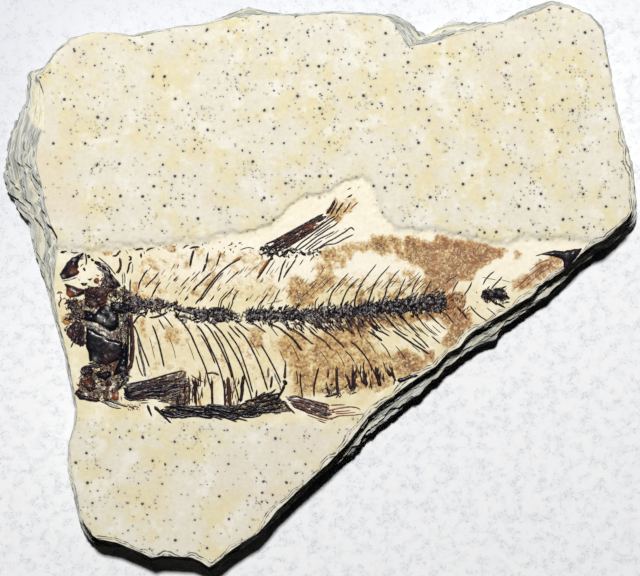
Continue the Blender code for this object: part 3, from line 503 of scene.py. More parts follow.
film_colour = add(tree, "ShaderNodeMix", add(tree, "ShaderNodeMapRange", along.outputs["X"], 13.0 * MM,
    24.0 * MM, 0.0, 0.4, **EASED), film_colour, "#A8683F", data_type="RGBA")
# Painted glints: light flecks on the film's grain stand for the lamp's glints on its scales.
painted_glint_level = add(tree, "ShaderNodeMath", glints, add(tree, "ShaderNodeMath",
    add(tree, "ShaderNodeMath", olive, 0.5, operation="SUBTRACT"), 0.35, operation="MULTIPLY"),
    operation="ADD")
film_colour = add(tree, "ShaderNodeMix", add(tree, "ShaderNodeMapRange", painted_glint_level, 0.54, 0.64, 0.0, 0.8,
    **EASED), film_colour, "#F0DCAA", data_type="RGBA")
film_colour = add(tree, "ShaderNodeMix", add(tree, "ShaderNodeMapRange", glints, 0.45, 0.36, 0.0, 0.7,
    **EASED), film_colour, "#7C5232", data_type="RGBA")
# The light arcs are painted glints too; the dark arcs are the film's own brown lines.
for level, half, strength, code in ((0.56, 0.03, 0.7, "#F5E6BC"), (0.43, 0.03, 0.5, "#6E4528")):
    off_arc = add(tree, "ShaderNodeMath", add(tree, "ShaderNodeMath", arcs, level, operation="SUBTRACT"),
        operation="ABSOLUTE")
    line = add(tree, "ShaderNodeMath", add(tree, "ShaderNodeMapRange", off_arc, half, 0.0, 0.0, strength,
        **EASED), add(tree, "ShaderNodeMapRange", blots, 0.4, 0.56, **EASED), operation="MULTIPLY")
    film_colour = add(tree, "ShaderNodeMix", line, film_colour, linear(code), data_type="RGBA")
over = add(tree, "ShaderNodeMath", add(tree, "ShaderNodeMapRange", thick, 0.12, 0.6, 0.0, 0.95, **EASED),
    add(tree, "ShaderNodeMapRange", film_mark, 0.02, 0.25, **EASED), operation="MULTIPLY")
colour = add(tree, "ShaderNodeMix", over, colour, film_colour, data_type="RGBA")

smear_mark = add(tree, "ShaderNodeAttribute", attribute_name="smear", give="Fac")
deep = add(tree, "ShaderNodeMath", smear_mark, add(tree, "ShaderNodeMath",
    add(tree, "ShaderNodeMath", streaky, 0.5, operation="SUBTRACT"), 1.8, operation="MULTIPLY"),
    operation="ADD")
smear_colour = add(tree, "ShaderNodeValToRGB", glints, stops=[(0.36, "#1F1A21"), (0.45, "#382930"),
    (0.52, "#604638"), (0.59, "#A58A62"), (0.64, "#E0D2A6")])
over = add(tree, "ShaderNodeMath", add(tree, "ShaderNodeMapRange", deep, 0.5, 0.68, 0.0, 0.95, **EASED),
    add(tree, "ShaderNodeMapRange", smear_mark, 0.05, 0.3, **EASED), operation="MULTIPLY")
colour = add(tree, "ShaderNodeMix", over, colour, smear_colour, data_type="RGBA")

# Near the lower rim thin cracks follow the edge, and the stone outside them is paler.
flake_gap = add(tree, "ShaderNodeMath", add(tree, "ShaderNodeAttribute", attribute_name="flaked",
    give="Fac"), add(tree, "ShaderNodeMath", add(tree, "ShaderNodeMath", flake_noise, 0.5,
    operation="SUBTRACT"), 1.3, operation="MULTIPLY"), operation="ADD")
colour = add(tree, "ShaderNodeMix", add(tree, "ShaderNodeMapRange", flake_gap, 0.3, 0.2, 0.0, 0.6, **EASED),
    colour, "#EFEBDA", data_type="RGBA")
broken = add(tree, "ShaderNodeMapRange", streaky, 0.42, 0.56, 0.25, 0.95, **EASED)
for level in (0.1, 0.24):
    off_crack = add(tree, "ShaderNodeMath", add(tree, "ShaderNodeMath", flake_gap, level,
        operation="SUBTRACT"), operation="ABSOLUTE")
    cracked = add(tree, "ShaderNodeMath", add(tree, "ShaderNodeMapRange", off_crack, 0.055, 0.015, **EASED),
        broken, operation="MULTIPLY")
    colour = add(tree, "ShaderNodeMix", cracked, colour, "#4A473F", data_type="RGBA")

# The broken edge shows the laminae as long fibres, which follow the edge.
fibre_spot = add(tree, "ShaderNodeAttribute", attribute_name="fibre_spot", give="Vector")
long_spot = add(tree, "ShaderNodeVectorMath", fibre_spot, (0.2, 0.2, 3.6), operation="MULTIPLY")
strata = add(tree, "ShaderNodeTexNoise", {"Vector": long_spot, "Scale": 1.0, "Detail": 6.0,
    "Roughness": 0.72, "Distortion": 0.3})
grey = add(tree, "ShaderNodeValToRGB", strata, stops=[(0.36, "#393C36"), (0.43, "#80827B"),
    (0.51, "#B2B3AD"), (0.61, "#DDDED9")])
lamina_share = add(tree, "ShaderNodeMath", add(tree, "ShaderNodeAttribute", attribute_name="lamina",
    give="Fac"), add(tree, "ShaderNodeMath", strata, 0.5, operation="SUBTRACT"), operation="ADD")
side = add(tree, "ShaderNodeValToRGB", strata, stops=[(0.34, "#A8A488"), (0.44, "#D8D2B8"),
    (0.6, "#EAE5D2")])
side = add(tree, "ShaderNodeMix", add(tree, "ShaderNodeMapRange", lamina_share, 0.12, 0.55, **EASED), side,
    grey, data_type="RGBA")
facing = add(tree, "ShaderNodeNewGeometry", give="Normal")
upright = add(tree, "ShaderNodeSeparateXYZ", facing, give="Z")
# Painted shade: under the steep lower rim the upright side faces are coloured nearly black, standing in for
# the shadow there.
painted_shade_under_rim = add(tree, "ShaderNodeMath", add(tree, "ShaderNodeMapRange",
    add(tree, "ShaderNodeAttribute", attribute_name="lamina", give="Fac"), 1.0, 1.4, **EASED),
    add(tree, "ShaderNodeMapRange", upright, 0.7, 0.3, 0.0, 0.9, **EASED), operation="MULTIPLY")
side = add(tree, "ShaderNodeMix", painted_shade_under_rim, side, "#121516", data_type="RGBA")
# Painted shade: the upright side faces turned away from the fish's back, and so from the lamp, are darkened
# between the layers, more so lower down.
south = add(tree, "ShaderNodeSeparateXYZ", facing, give="Y")
painted_shade_facing_away = add(tree, "ShaderNodeMath", add(tree, "ShaderNodeMapRange", south, -0.05, -0.45, **EASED),
    add(tree, "ShaderNodeMapRange", upright, 0.7, 0.3, **EASED), operation="MULTIPLY")
painted_shade_depth = add(tree, "ShaderNodeMapRange", along.outputs["Z"], 9.8 * MM, 7.5 * MM, 0.45, 1.0, **EASED)
side = add(tree, "ShaderNodeMix", add(tree, "ShaderNodeMath", painted_shade_facing_away, painted_shade_depth, operation="MULTIPLY"), side,
    "#4A4842", data_type="RGBA", blend_type="MULTIPLY")
side = add(tree, "ShaderNodeMix", add(tree, "ShaderNodeMapRange", grain, 0.56, 0.72, 0.0, 0.35, **EASED),
    side, "#77756C", data_type="RGBA")
colour = add(tree, "ShaderNodeMix", add(tree, "ShaderNodeMapRange",
    add(tree, "ShaderNodeAttribute", attribute_name="broken", give="Fac"), 0.3, 0.8, **EASED), colour, side,
    data_type="RGBA")

bump = add(tree, "ShaderNodeBump", {"Strength": 0.4, "Distance": 0.1 * MM, "Height": pits})
dull = add(tree, "ShaderNodeMapRange", grain, 0.3, 0.7, 0.78, 0.92, **EASED)
surface = add(tree, "ShaderNodeBsdfPrincipled", {"Base Color": colour, "Roughness": dull, "Normal": bump,
    "Specular IOR Level": 0.25})
add(tree, "ShaderNodeOutputMaterial", surface, give="node")
slab_mesh.materials.append(stone)
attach(slab, "root")
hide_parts("limestone_slab")


# The bones are phosphate, stained black and brown, and pressed flat in the rock. They are glossy where they
# are dense. Two attributes follow each bone: tone goes from blue-black, 0, through brown and red to amber,
# 1, and pale is how far its surface is worn to grey; some small pale spots are painted highlights and sheen
# on the glossy bone. In the lists, a tone below 0 is a worn bone.
BONE_FLOOR = BED + 0.02
BONE_TONES = [(0.0, "#0B0D14"), (0.2, "#19131A"), (0.4, "#311E22"), (0.58, "#4F2D27"), (0.76, "#854526"),
              (1.0, "#BC8648")]


def bone_material(name, gloss, dust):
    """Dense phosphate bone: dark and glossy, with brown depths, and pale stone dust left in its hollows."""
    material, tree = new_material(name)
    spot = add(tree, "ShaderNodeTexCoord", give="Object")
    streaks = add(tree, "ShaderNodeTexNoise", spot, PER_MM / 1.5, 5.0, 0.7)
    fibres = add(tree, "ShaderNodeTexNoise", spot, 4.0, PER_MM / 0.4, 4.0, 0.7, noise_dimensions="4D")
    tone = add(tree, "ShaderNodeMath", add(tree, "ShaderNodeAttribute", attribute_name="tone", give="Fac"),
        add(tree, "ShaderNodeMath", add(tree, "ShaderNodeMath", streaks, 0.5, operation="SUBTRACT"), 0.7,
        operation="MULTIPLY"), operation="ADD")
    # Pale mixes in grey: worn bone, and in places painted sheen and highlights.
    worn_and_painted_sheen = add(tree, "ShaderNodeMath", add(tree, "ShaderNodeAttribute", attribute_name="pale", give="Fac"),
        add(tree, "ShaderNodeMapRange", streaks, 0.3, 0.6, 0.45, 1.0, **EASED), operation="MULTIPLY")
    colour = add(tree, "ShaderNodeMix", worn_and_painted_sheen, add(tree, "ShaderNodeValToRGB", tone, stops=BONE_TONES),
        add(tree, "ShaderNodeMix", add(tree, "ShaderNodeMapRange", fibres, 0.35, 0.65, **EASED), "#665C68",
        "#DCD6CC", data_type="RGBA"), data_type="RGBA")
    colour = add(tree, "ShaderNodeMix", add(tree, "ShaderNodeMapRange", fibres, 0.62, 0.72, 0.0, dust,
        **EASED), colour, "#B9A383", data_type="RGBA")
    rough = add(tree, "ShaderNodeMapRange", fibres, 0.35, 0.65, gloss, gloss + 0.25, **EASED)
    bump = add(tree, "ShaderNodeBump", {"Strength": 0.4, "Distance": 0.03 * MM, "Height": fibres})
    surface = add(tree, "ShaderNodeBsdfPrincipled", {"Base Color": colour, "Roughness": rough,
        "Normal": bump, "Specular IOR Level": 0.15, "Coat Weight": 0.16, "Coat Roughness": 0.18})
    add(tree, "ShaderNodeOutputMaterial", surface, give="node")
    return material


BONES = {
    "black_bone": bone_material("black_phosphate_bone", 0.24, 0.2),
    "brown_bone": bone_material("brown_phosphate_bone", 0.3, 0.25),
    "red_bone": bone_material("red_phosphate_bone", 0.2, 0.15),
}


def tree_with_inputs(name, inputs):
    """A Geometry Nodes tree with geometry in and out, and the named inputs. Gives the tree and its start."""
    tree = bpy.data.node_groups.new(name, "GeometryNodeTree")
    tree.interface.new_socket("Geometry", in_out="INPUT", socket_type="NodeSocketGeometry")
    tree.interface.new_socket("Geometry", in_out="OUTPUT", socket_type="NodeSocketGeometry")
    for label, value in inputs.items():
        kind = "NodeSocketMaterial" if value is None else "NodeSocketFloat"
        socket = tree.interface.new_socket(label, in_out="INPUT", socket_type=kind)
        if value is not None:
            socket.default_value = value
    return (tree, add(tree, "NodeGroupInput", give="node"))


def noise_push(tree, geometry_socket, size, seed, amount):
    """Moves points about by noise whose swells are size metres apart."""
    here = add(tree, "GeometryNodeInputPosition")
    cloud = add(tree, "ShaderNodeTexNoise", here, seed, 1.0 / size, 2.0, noise_dimensions="4D", give="Color")
    centred = add(tree, "ShaderNodeVectorMath", cloud, (0.5, 0.5, 0.5), operation="SUBTRACT")
    moved = add(tree, "ShaderNodeVectorMath", centred, amount, operation="SCALE")
    return add(tree, "GeometryNodeSetPosition", {"Geometry": geometry_socket, "Offset": moved})


def finish_tree(tree, geometry_socket, start):
    smooth_faces = add(tree, "GeometryNodeSetShadeSmooth", geometry_socket)
    real = add(tree, "GeometryNodeRealizeInstances", smooth_faces)
    dressed_faces = add(tree, "GeometryNodeSetMaterial",
        {"Geometry": real, "Material": start.outputs["Material"]})
    add(tree, "NodeGroupOutput", {"Geometry": dressed_faces}, give="node")


# A strand is a slender bone. Its course is resampled, wavers a little, swells and thins, and ends round.
strand_tree, start = tree_with_inputs("slender_bone", {
    "Spacing": 0.00016, "Waver": 0.00006, "Knobs": 0.3, "Flatness": 0.8,
    "Floor": BONE_FLOOR * MM, "Seed": 1.0, "Material": None})
course = add(strand_tree, "GeometryNodeMeshToCurve", start.outputs["Geometry"])
course = add(strand_tree, "GeometryNodeCurveSplineType", course, spline_type="CATMULL_ROM")
course = add(strand_tree, "GeometryNodeResampleCurve", {"Curve": course, "Length": start.outputs["Spacing"]},
    mode="LENGTH")
course = noise_push(strand_tree, course, 0.0012, start.outputs["Seed"], start.outputs["Waver"])
here = add(strand_tree, "GeometryNodeInputPosition")
knobs = add(strand_tree, "ShaderNodeTexNoise", here, start.outputs["Seed"], 1500.0, 2.0,
    noise_dimensions="4D")
knobs = add(strand_tree, "ShaderNodeMath", 1.0, add(strand_tree, "ShaderNodeMath",
    add(strand_tree, "ShaderNodeMath", knobs, 0.5, operation="SUBTRACT"),
    add(strand_tree, "ShaderNodeMath", start.outputs["Knobs"], 2.0, operation="MULTIPLY"),
    operation="MULTIPLY"), operation="ADD")
from_start = add(strand_tree, "GeometryNodeSplineParameter", give="Length")
whole = add(strand_tree, "GeometryNodeSplineLength")
from_end = add(strand_tree, "ShaderNodeMath", whole, from_start, operation="SUBTRACT")
tip = add(strand_tree, "ShaderNodeMath", from_start, from_end, operation="MINIMUM")
tip = add(strand_tree, "ShaderNodeMapRange", tip, -0.0001, 0.0005, 0.15, 1.0, **EASED)
radius = add(strand_tree, "ShaderNodeMath", add(strand_tree, "ShaderNodeMath",
    add(strand_tree, "GeometryNodeInputNamedAttribute", "half_width", data_type="FLOAT"), knobs,
    operation="MULTIPLY"), tip, operation="MULTIPLY")
profile = add(strand_tree, "GeometryNodeCurvePrimitiveCircle", {"Resolution": 7, "Radius": 1.0})
tube = add(strand_tree, "GeometryNodeCurveToMesh", {"Curve": course, "Profile Curve": profile,
    "Scale": radius, "Fill Caps": True})
here = add(strand_tree, "GeometryNodeInputPosition")
parts = add(strand_tree, "ShaderNodeSeparateXYZ", here, give="node")
height = add(strand_tree, "ShaderNodeMath", add(strand_tree, "ShaderNodeMath", parts.outputs["Z"],
    start.outputs["Flatness"], operation="MULTIPLY"), start.outputs["Floor"], operation="ADD")
flat_spot = add(strand_tree, "ShaderNodeCombineXYZ", parts.outputs["X"], parts.outputs["Y"], height)
tube = add(strand_tree, "GeometryNodeSetPosition", {"Geometry": tube, "Position": flat_spot})
tube = noise_push(strand_tree, tube, 0.0004, start.outputs["Seed"], 0.00005)
finish_tree(strand_tree, tube, start)

# A grain is a crumb of broken bone: one small lump on each point, turned and stretched at random.
grain_tree, start = tree_with_inputs("bone_crumbs", {"Seed": 1.0, "Material": None})
lump = add(grain_tree, "GeometryNodeMeshIcoSphere", {"Radius": 1.0, "Subdivisions": 1})
seed_number = add(grain_tree, "FunctionNodeFloatToInt", {"Float": start.outputs["Seed"]})
turned = add(grain_tree, "FunctionNodeRandomValue", {"Min": (-0.3, -0.3, 0.0), "Max": (0.3, 0.3, 6.28),
    "Seed": seed_number}, data_type="FLOAT_VECTOR")
stretch = add(grain_tree, "FunctionNodeRandomValue", {"Min": (0.8, 0.5, 0.4), "Max": (2.8, 1.0, 0.8),
    "Seed": seed_number}, data_type="FLOAT_VECTOR")
sized = add(grain_tree, "ShaderNodeVectorMath", stretch,
    add(grain_tree, "GeometryNodeInputNamedAttribute", "half_width", data_type="FLOAT"), operation="SCALE")
spots = add(grain_tree, "GeometryNodeMeshToPoints", start.outputs["Geometry"])
crumbs = add(grain_tree, "GeometryNodeInstanceOnPoints",
    {"Points": spots, "Instance": lump, "Rotation": turned, "Scale": sized})
crumbs = add(grain_tree, "GeometryNodeRealizeInstances", crumbs)
crumbs = noise_push(grain_tree, crumbs, 0.0003, start.outputs["Seed"], 0.00016)
finish_tree(grain_tree, crumbs, start)

# A centrum is a spool with a rim at both ends, a narrow waist and low ridges along it, set along the column.
spool_turns, spool_sides = [-0.5, -0.46, -0.4, -0.28, -0.12, 0.0, 0.12, 0.28, 0.4, 0.46, 0.5], 14
spool_reach = [0.4, 0.9, 1.0, 0.86, 0.66, 0.6, 0.66, 0.86, 1.0, 0.9, 0.4]
spool_corners, spool_faces = [], []
for x, reach in zip(spool_turns, spool_reach):
    for side in range(spool_sides):
        angle = side * 2.0 * math.pi / spool_sides
        ridge = reach * (1.0 + (0.1 if side % 2 else -0.1) * (abs(x) < 0.42))
        spool_corners.append((x, ridge * math.cos(angle), ridge * math.sin(angle)))
for turn_index in range(len(spool_turns) - 1):
    for side in range(spool_sides):
        a, b = turn_index * spool_sides + side, turn_index * spool_sides + (side + 1) % spool_sides
        spool_faces.append((a, b, b + spool_sides, a + spool_sides))
spool_faces.append(tuple(range(spool_sides))[::-1])
spool_faces.append(tuple(range(len(spool_corners) - spool_sides, len(spool_corners))))
spool_mesh = bpy.data.meshes.new("centrum")
spool_mesh.from_pydata(spool_corners, [], [face[::-1] for face in spool_faces])
spool = bpy.data.objects.new("centrum", spool_mesh)

centra_tree, start = tree_with_inputs("vertebral_column", {
    "Pitch": 0.0026, "Flatness": 0.55, "Floor": BONE_FLOOR * MM, "Seed": 1.0, "Material": None})
seed_number = add(centra_tree, "FunctionNodeFloatToInt", {"Float": start.outputs["Seed"]})
middle_line = add(centra_tree, "GeometryNodeMeshToCurve", start.outputs["Geometry"])
middle_line = add(centra_tree, "GeometryNodeResampleCurve",
    {"Curve": middle_line, "Length": start.outputs["Pitch"]}, mode="LENGTH")
along = add(centra_tree, "GeometryNodeInputTangent")
facing = add(centra_tree, "FunctionNodeAlignRotationToVector", {"Vector": along}, axis="X")
rolled = add(centra_tree, "FunctionNodeRandomValue", {"Min": -0.5, "Max": 0.5, "Seed": seed_number},
    data_type="FLOAT")
half = add(centra_tree, "GeometryNodeInputNamedAttribute", "half_width", data_type="FLOAT")
swell = add(centra_tree, "FunctionNodeRandomValue", {"Min": 0.84, "Max": 1.14, "Seed": seed_number},
    data_type="FLOAT")
half = add(centra_tree, "ShaderNodeMath", half, swell, operation="MULTIPLY")
size = add(centra_tree, "ShaderNodeCombineXYZ", add(centra_tree, "ShaderNodeMath", start.outputs["Pitch"],
    0.93, operation="MULTIPLY"), half, half)
instance = add(centra_tree, "GeometryNodeObjectInfo", spool, give="Geometry")
spools = add(centra_tree, "GeometryNodeInstanceOnPoints",
    {"Points": middle_line, "Instance": instance, "Rotation": facing, "Scale": size})
spools = add(centra_tree, "GeometryNodeRotateInstances",
    {"Instances": spools, "Rotation": add(centra_tree, "ShaderNodeCombineXYZ", rolled), "Local Space": True})
spools = add(centra_tree, "GeometryNodeRealizeInstances", spools)
spools = add(centra_tree, "GeometryNodeSubdivideMesh", {"Mesh": spools, "Level": 1})
spools = noise_push(centra_tree, spools, 0.0011, start.outputs["Seed"], 0.0007)
spools = noise_push(centra_tree, spools, 0.00035, start.outputs["Seed"], 0.0003)
here = add(centra_tree, "GeometryNodeInputPosition")
parts = add(centra_tree, "ShaderNodeSeparateXYZ", here, give="node")
height = add(centra_tree, "ShaderNodeMath", add(centra_tree, "ShaderNodeMath", parts.outputs["Z"],
    start.outputs["Flatness"], operation="MULTIPLY"), start.outputs["Floor"], operation="ADD")
flat_spot = add(centra_tree, "ShaderNodeCombineXYZ", parts.outputs["X"], parts.outputs["Y"], height)
spools = add(centra_tree, "GeometryNodeSetPosition", {"Geometry": spools, "Position": flat_spot})
finish_tree(centra_tree, spools, start)


def grown(tree, points, links, widths, tones, settings):
    """What a tree grows on these points, as corners, faces, tones and paleness."""
    base_mesh = bpy.data.meshes.new("growing")
    base_mesh.from_pydata(points.tolist(), links, [])
    tones = np.asarray(tones, np.float32)
    for name, values in (("half_width", widths), ("tone", np.where(tones < 0.0, 0.1, tones)),
                         ("pale", np.where(tones < 0.0, -tones, 0.0))):
        base_mesh.attributes.new(name, "FLOAT", "POINT").data.foreach_set("value",
            np.asarray(values, np.float32))
    base = bpy.data.objects.new("growing", base_mesh)
    bpy.context.scene.collection.objects.link(base)
    modifier = base.modifiers.new("grow", "NODES")
    modifier.node_group = tree
    for socket in tree.interface.items_tree:
        if socket.in_out == "INPUT" and socket.name in settings:
            modifier[socket.identifier] = settings[socket.name]
        if socket.in_out == "INPUT" and socket.name == "Material":
            modifier[socket.identifier] = BONES["brown_bone"]
    graph = bpy.context.evaluated_depsgraph_get()
    mesh = bpy.data.meshes.new_from_object(base.evaluated_get(graph))
    base.modifiers.clear()
    bpy.data.objects.remove(base)
    corners = np.empty(len(mesh.vertices) * 3)
    mesh.vertices.foreach_get("co", corners)
    marks = []
    for name in ("tone", "pale"):
        values = np.zeros(len(mesh.vertices), np.float32)
        if name in mesh.attributes and mesh.attributes[name].domain == "POINT":
            mesh.attributes[name].data.foreach_get("value", values)
        marks.append(values)
    result = corners.reshape(-1, 3), [tuple(face.vertices) for face in mesh.polygons], *marks
    bpy.data.meshes.remove(mesh)
    return result


def strands(courses, seed, **settings):
    """Slender bones. A course is a tone, a half width or the widths at both ends, and its places. Text is
    read by drawn()."""
    points, links, widths, tones = [], [], [], []
    for tone, width, line in drawn(courses) if isinstance(courses, str) else courses:
        ends = width if isinstance(width, tuple) else (width, width)
        first = len(points)
        for index, spot in enumerate(line):
            share = index / (len(line) - 1)
            x, y = spot[:2]
            lift = spot[2] if len(spot) > 2 else 0.0
            points.append((x - SLAB_MIDDLE[0], y - SLAB_MIDDLE[1], lift))
            widths.append((ends[0] + (ends[1] - ends[0]) * share) * MM)
            tones.append(tone)
            if index:
                links.append((first + index - 1, first + index))
    return grown(strand_tree, np.array(points) * MM, links, widths, tones, {"Seed": float(seed), **settings})


def crumbs_in(heaps, seed):
    """Crumbs of bone in outlines. A heap is a count, sizes, tones, a height and an outline."""
    draw = np.random.default_rng(seed)
    points, widths, tones = [], [], []
    for count, small, large, choices, lift, outline in heaps:
        count = int(count)
        outline = np.asarray(outline, float)
        low, high = outline.min(0), outline.max(0)
        spots = draw.uniform(low, high, (count * 4, 2))
        spots = spots[inside(spots, [tuple(p) for p in outline])][:count]
        for x, y in spots:
            points.append((x - SLAB_MIDDLE[0], y - SLAB_MIDDLE[1],
                BONE_FLOOR + lift * draw.uniform(0.2, 1.0)))
            widths.append(draw.uniform(small, large) * MM)
            tones.append(draw.choice(choices))
    return grown(grain_tree, np.array(points) * MM, [], widths, tones, {"Seed": float(seed)})


def splinters(zones, seed):
    """Short splinters at random in outlines. A zone is a count, lengths, half widths, a bearing in degrees
    with its spread, tones and an outline. Gives courses for strands()."""
    draw = np.random.default_rng(seed)
    courses = []
    for count, lengths, widths, bearing, spread, choices, outline in zones:
        count = int(count)
        outline = np.asarray(outline, float)
        low, high = outline.min(0), outline.max(0)
        spots = draw.uniform(low, high, (count * 4, 2))
        spots = spots[inside(spots, [tuple(p) for p in outline])][:count]
        for x, y in spots:
            angle = math.radians(bearing + draw.uniform(-spread, spread))
            reach = draw.uniform(*lengths) / 2.0
            bend = draw.uniform(-0.15, 0.15) * reach
            dx, dy = math.cos(angle) * reach, math.sin(angle) * reach
            lift = draw.uniform(0.0, 0.55)
            courses.append((float(draw.choice(choices)), draw.uniform(*widths), [
                (x - dx, y - dy, lift), (x - dy * bend, y + dx * bend, lift + 0.1), (x + dx, y + dy, lift)]))
    return courses


PLATE_GAP = 0.17


def relief(outline, thickness, tone, seed, tints=(), rough=0.5, creases=1.1, ragged=0.12):
    """A flat bone in relief: a ragged outline, a domed and creased face, and a flat underside in the bed.
    Text is read by at()."""
    outline = at(outline) if isinstance(outline, str) else outline
    tints = at(tints) if isinstance(tints, str) else tints
    octaves = 4 if rough > 0.5 else 1
    line = resample(outline, PLATE_GAP, closed=True)
    tangent = np.roll(line, -1, axis=0) - np.roll(line, 1, axis=0)
    normal = np.column_stack([tangent[:, 1], -tangent[:, 0]])
    normal /= np.maximum(np.hypot(*normal.T), 1e-9)[:, None]
    line = line + normal * (ragged * waves(line, 0.8, seed + 0.3, 3))[:, None]
    outline = [tuple(p) for p in line]
    net = scattered(PLATE_GAP, outline, seed)
    net = net[distance(net, line, True) > PLATE_GAP * 0.6]
    loop = [(i, (i + 1) % len(line)) for i in range(len(line))]
    flat = [Vector(p) for p in line] + [Vector(p) for p in net]
    found, _, triangles, origins, _, _ = geometry.delaunay_2d_cdt(flat, loop, [], 1, 1e-6)
    points = np.array([tuple(p) for p in found])
    depth = distance(points, line, True)
    rising = 1.0 - np.exp(-depth / 0.3)
    ridges = 1.0 - 2.0 * np.abs(waves(points, creases, seed + 5.0, octaves))
    fine = 0.2 * waves(points, 0.45, seed) * (octaves > 1)
    heights = thickness * rising * (1.0 - rough * 0.5 + rough * 0.5 * ridges + rough * fine)
    tones = tone + 0.18 * waves(points, 1.0, seed + 9.0)
    pale = np.zeros(len(points))
    for x, y, reach, tint in tints:
        share = np.exp(-((points[:, 0] - x) ** 2 + (points[:, 1] - y) ** 2) / (reach * reach))
        if tint < 0.0:
            pale = np.maximum(pale, -tint * share)
        else:
            tones = tones * (1.0 - share) + tint * share
    edges = {}
    for triangle in triangles:
        for a, b in zip(triangle, list(triangle[1:]) + [triangle[0]]):
            edges[(a, b)] = 1
    outer = [(a, b) for a, b in edges if (b, a) not in edges]
    follow = dict(outer)
    chain = [outer[0][0]]
    while follow[chain[-1]] != chain[0]:
        chain.append(follow[chain[-1]])
        assert len(chain) <= len(follow), "the outline crosses itself"
    top = place(points, BONE_FLOOR - 0.05 + heights)
    low = place(points[chain], BED - 0.2)
    first = len(top)
    faces = [tuple(t) for t in triangles]
    for i in range(len(chain)):
        j = (i + 1) % len(chain)
        faces.append((chain[j], chain[i], first + i, first + j))
    faces.append(tuple(first + i for i in range(len(chain)))[::-1])
    corners = np.vstack([top, low])
    return (corners, faces, np.clip(np.concatenate([tones, tones[chain]]), 0.0, 1.0),
            np.concatenate([pale, pale[chain]]))


def bone_piece(name, slot, shells, nodes=(), sharp=0.9):
    """One object of these shells, riding on the fossil, in place of the CAD nodes that it is named with."""
    corners, faces, tones, pale = [], [], [], []
    for shell_corners, shell_faces, shell_tones, shell_pale in shells:
        first = sum(len(c) for c in corners)
        corners.append(shell_corners)
        faces.extend(tuple(i + first for i in face) for face in shell_faces)
        tones.append(shell_tones)
        pale.append(shell_pale)
    mesh = bpy.data.meshes.new(name)
    mesh.from_pydata(np.vstack(corners).tolist(), [], faces)
    for label, values in (("tone", tones), ("pale", pale)):
        mesh.attributes.new(label, "FLOAT", "POINT").data.foreach_set(
            "value", np.concatenate(values).astype(np.float32))
    mesh.materials.append(BONES[slot])
    mesh.shade_smooth()
    mesh.set_sharp_from_angle(angle=sharp)
    piece = bpy.data.objects.new(name, mesh)
    bpy.context.scene.collection.objects.link(piece)
    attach(piece, "root")
    if nodes:
        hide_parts(*nodes)


# The skull is a heap of flat bones pressed together: plates in relief where one can be told, slender splints
# between them, and crumbs in what is broken too small. Snout and upper jaw are red-brown and very glossy.
SNOUT = at("""-500 25,-496 33,-490 42,-486 48,-478 56,-470 60,-460 65,-453 69,-454 62,-461 54,-465 46,
    -463 39,-466 34,-462 29,-464 24,-474 20,-485 16,-496 15""")
bone_piece("snout_plate_bone", "red_bone", [
    relief(SNOUT, 0.75, 0.2, 31, "-471 31 9 7,-492 21 3 -7,-472 53 2.5 -9,-477 28 2 -9", 0.35),
    strands(""".3 .14:-499 67,-492 69,-483 68,-470 66,-457 69;.25 .2:-498 66,-492 67,-488 69;
      .2 .1/.22:-476 67,-468 66,-458 69;.2 .16:-451 73,-451 66,-449 52,-450 42;.3 .12:-461 39,-458 43,
      -454 45;-.7 .2:-463 52,-459 56,-454 60;.4 .1:-462 63,-459 54,-453 56;-.8 .14:-496 12,-480 15,-466 20;
      .5 .08:-503 81,-505 74,-502 72""", 32),
    relief("-456 38,-452 39,-449 32,-452 29,-456 34", 0.4, 0.15, 33),
    relief("-450 62,-446 63,-443 66,-441 60,-440 56,-446 55", 0.5, 0.2, 34),
    relief("-441 55,-437 55,-434 50,-439 50", 0.4, 0.2, 35),
], ["snout_plate"])

UPPER_JAW = at("""-493 9,-484 6,-473 3,-463 -1,-454 -3,-452 -7,-456 -14,-463 -17,-474 -20,-482 -19,-488 -13,
    -488 0""")
bone_piece("upper_jaw_bone", "red_bone", [
    # Painted highlight: the small pale spots at -46.9 -1.1 and -47.6 -0.3 are a glint along the glossy
    # plate.
    relief(UPPER_JAW, 0.8, 0.42, 41, """-480 -14 8 8.6,-460 -10 7 3.5,-469 -11 2.2 -10,-476 -3 2.5 -7,
      -485 4 5 1.5""", 0.25),
    strands(""".3 .3:-488 -23,-482 -26,-472 -26,-464 -23;.25 .3/.12:-486 -27,-481 -34,-479 -41;
      .3 .22:-472 -24,-466 -32,-460 -36,-457 -42;.6 .16:-500 -17,-497 -22,-501 -31,-499 -38;.7 .22:-505 -12,
      -500 -9,-494 -11;.55 .12:-495 -23,-490 -20,-487 -24;.4 .12:-499 -12,-498 -18""", 42),
    crumbs_in(drawn("26 .08 .2 .3/.5/.7/-.6 .25:-492 -19,-454 -19,-452 -46,-476 -44"), 43),
], ["upper_jaw_plate"])

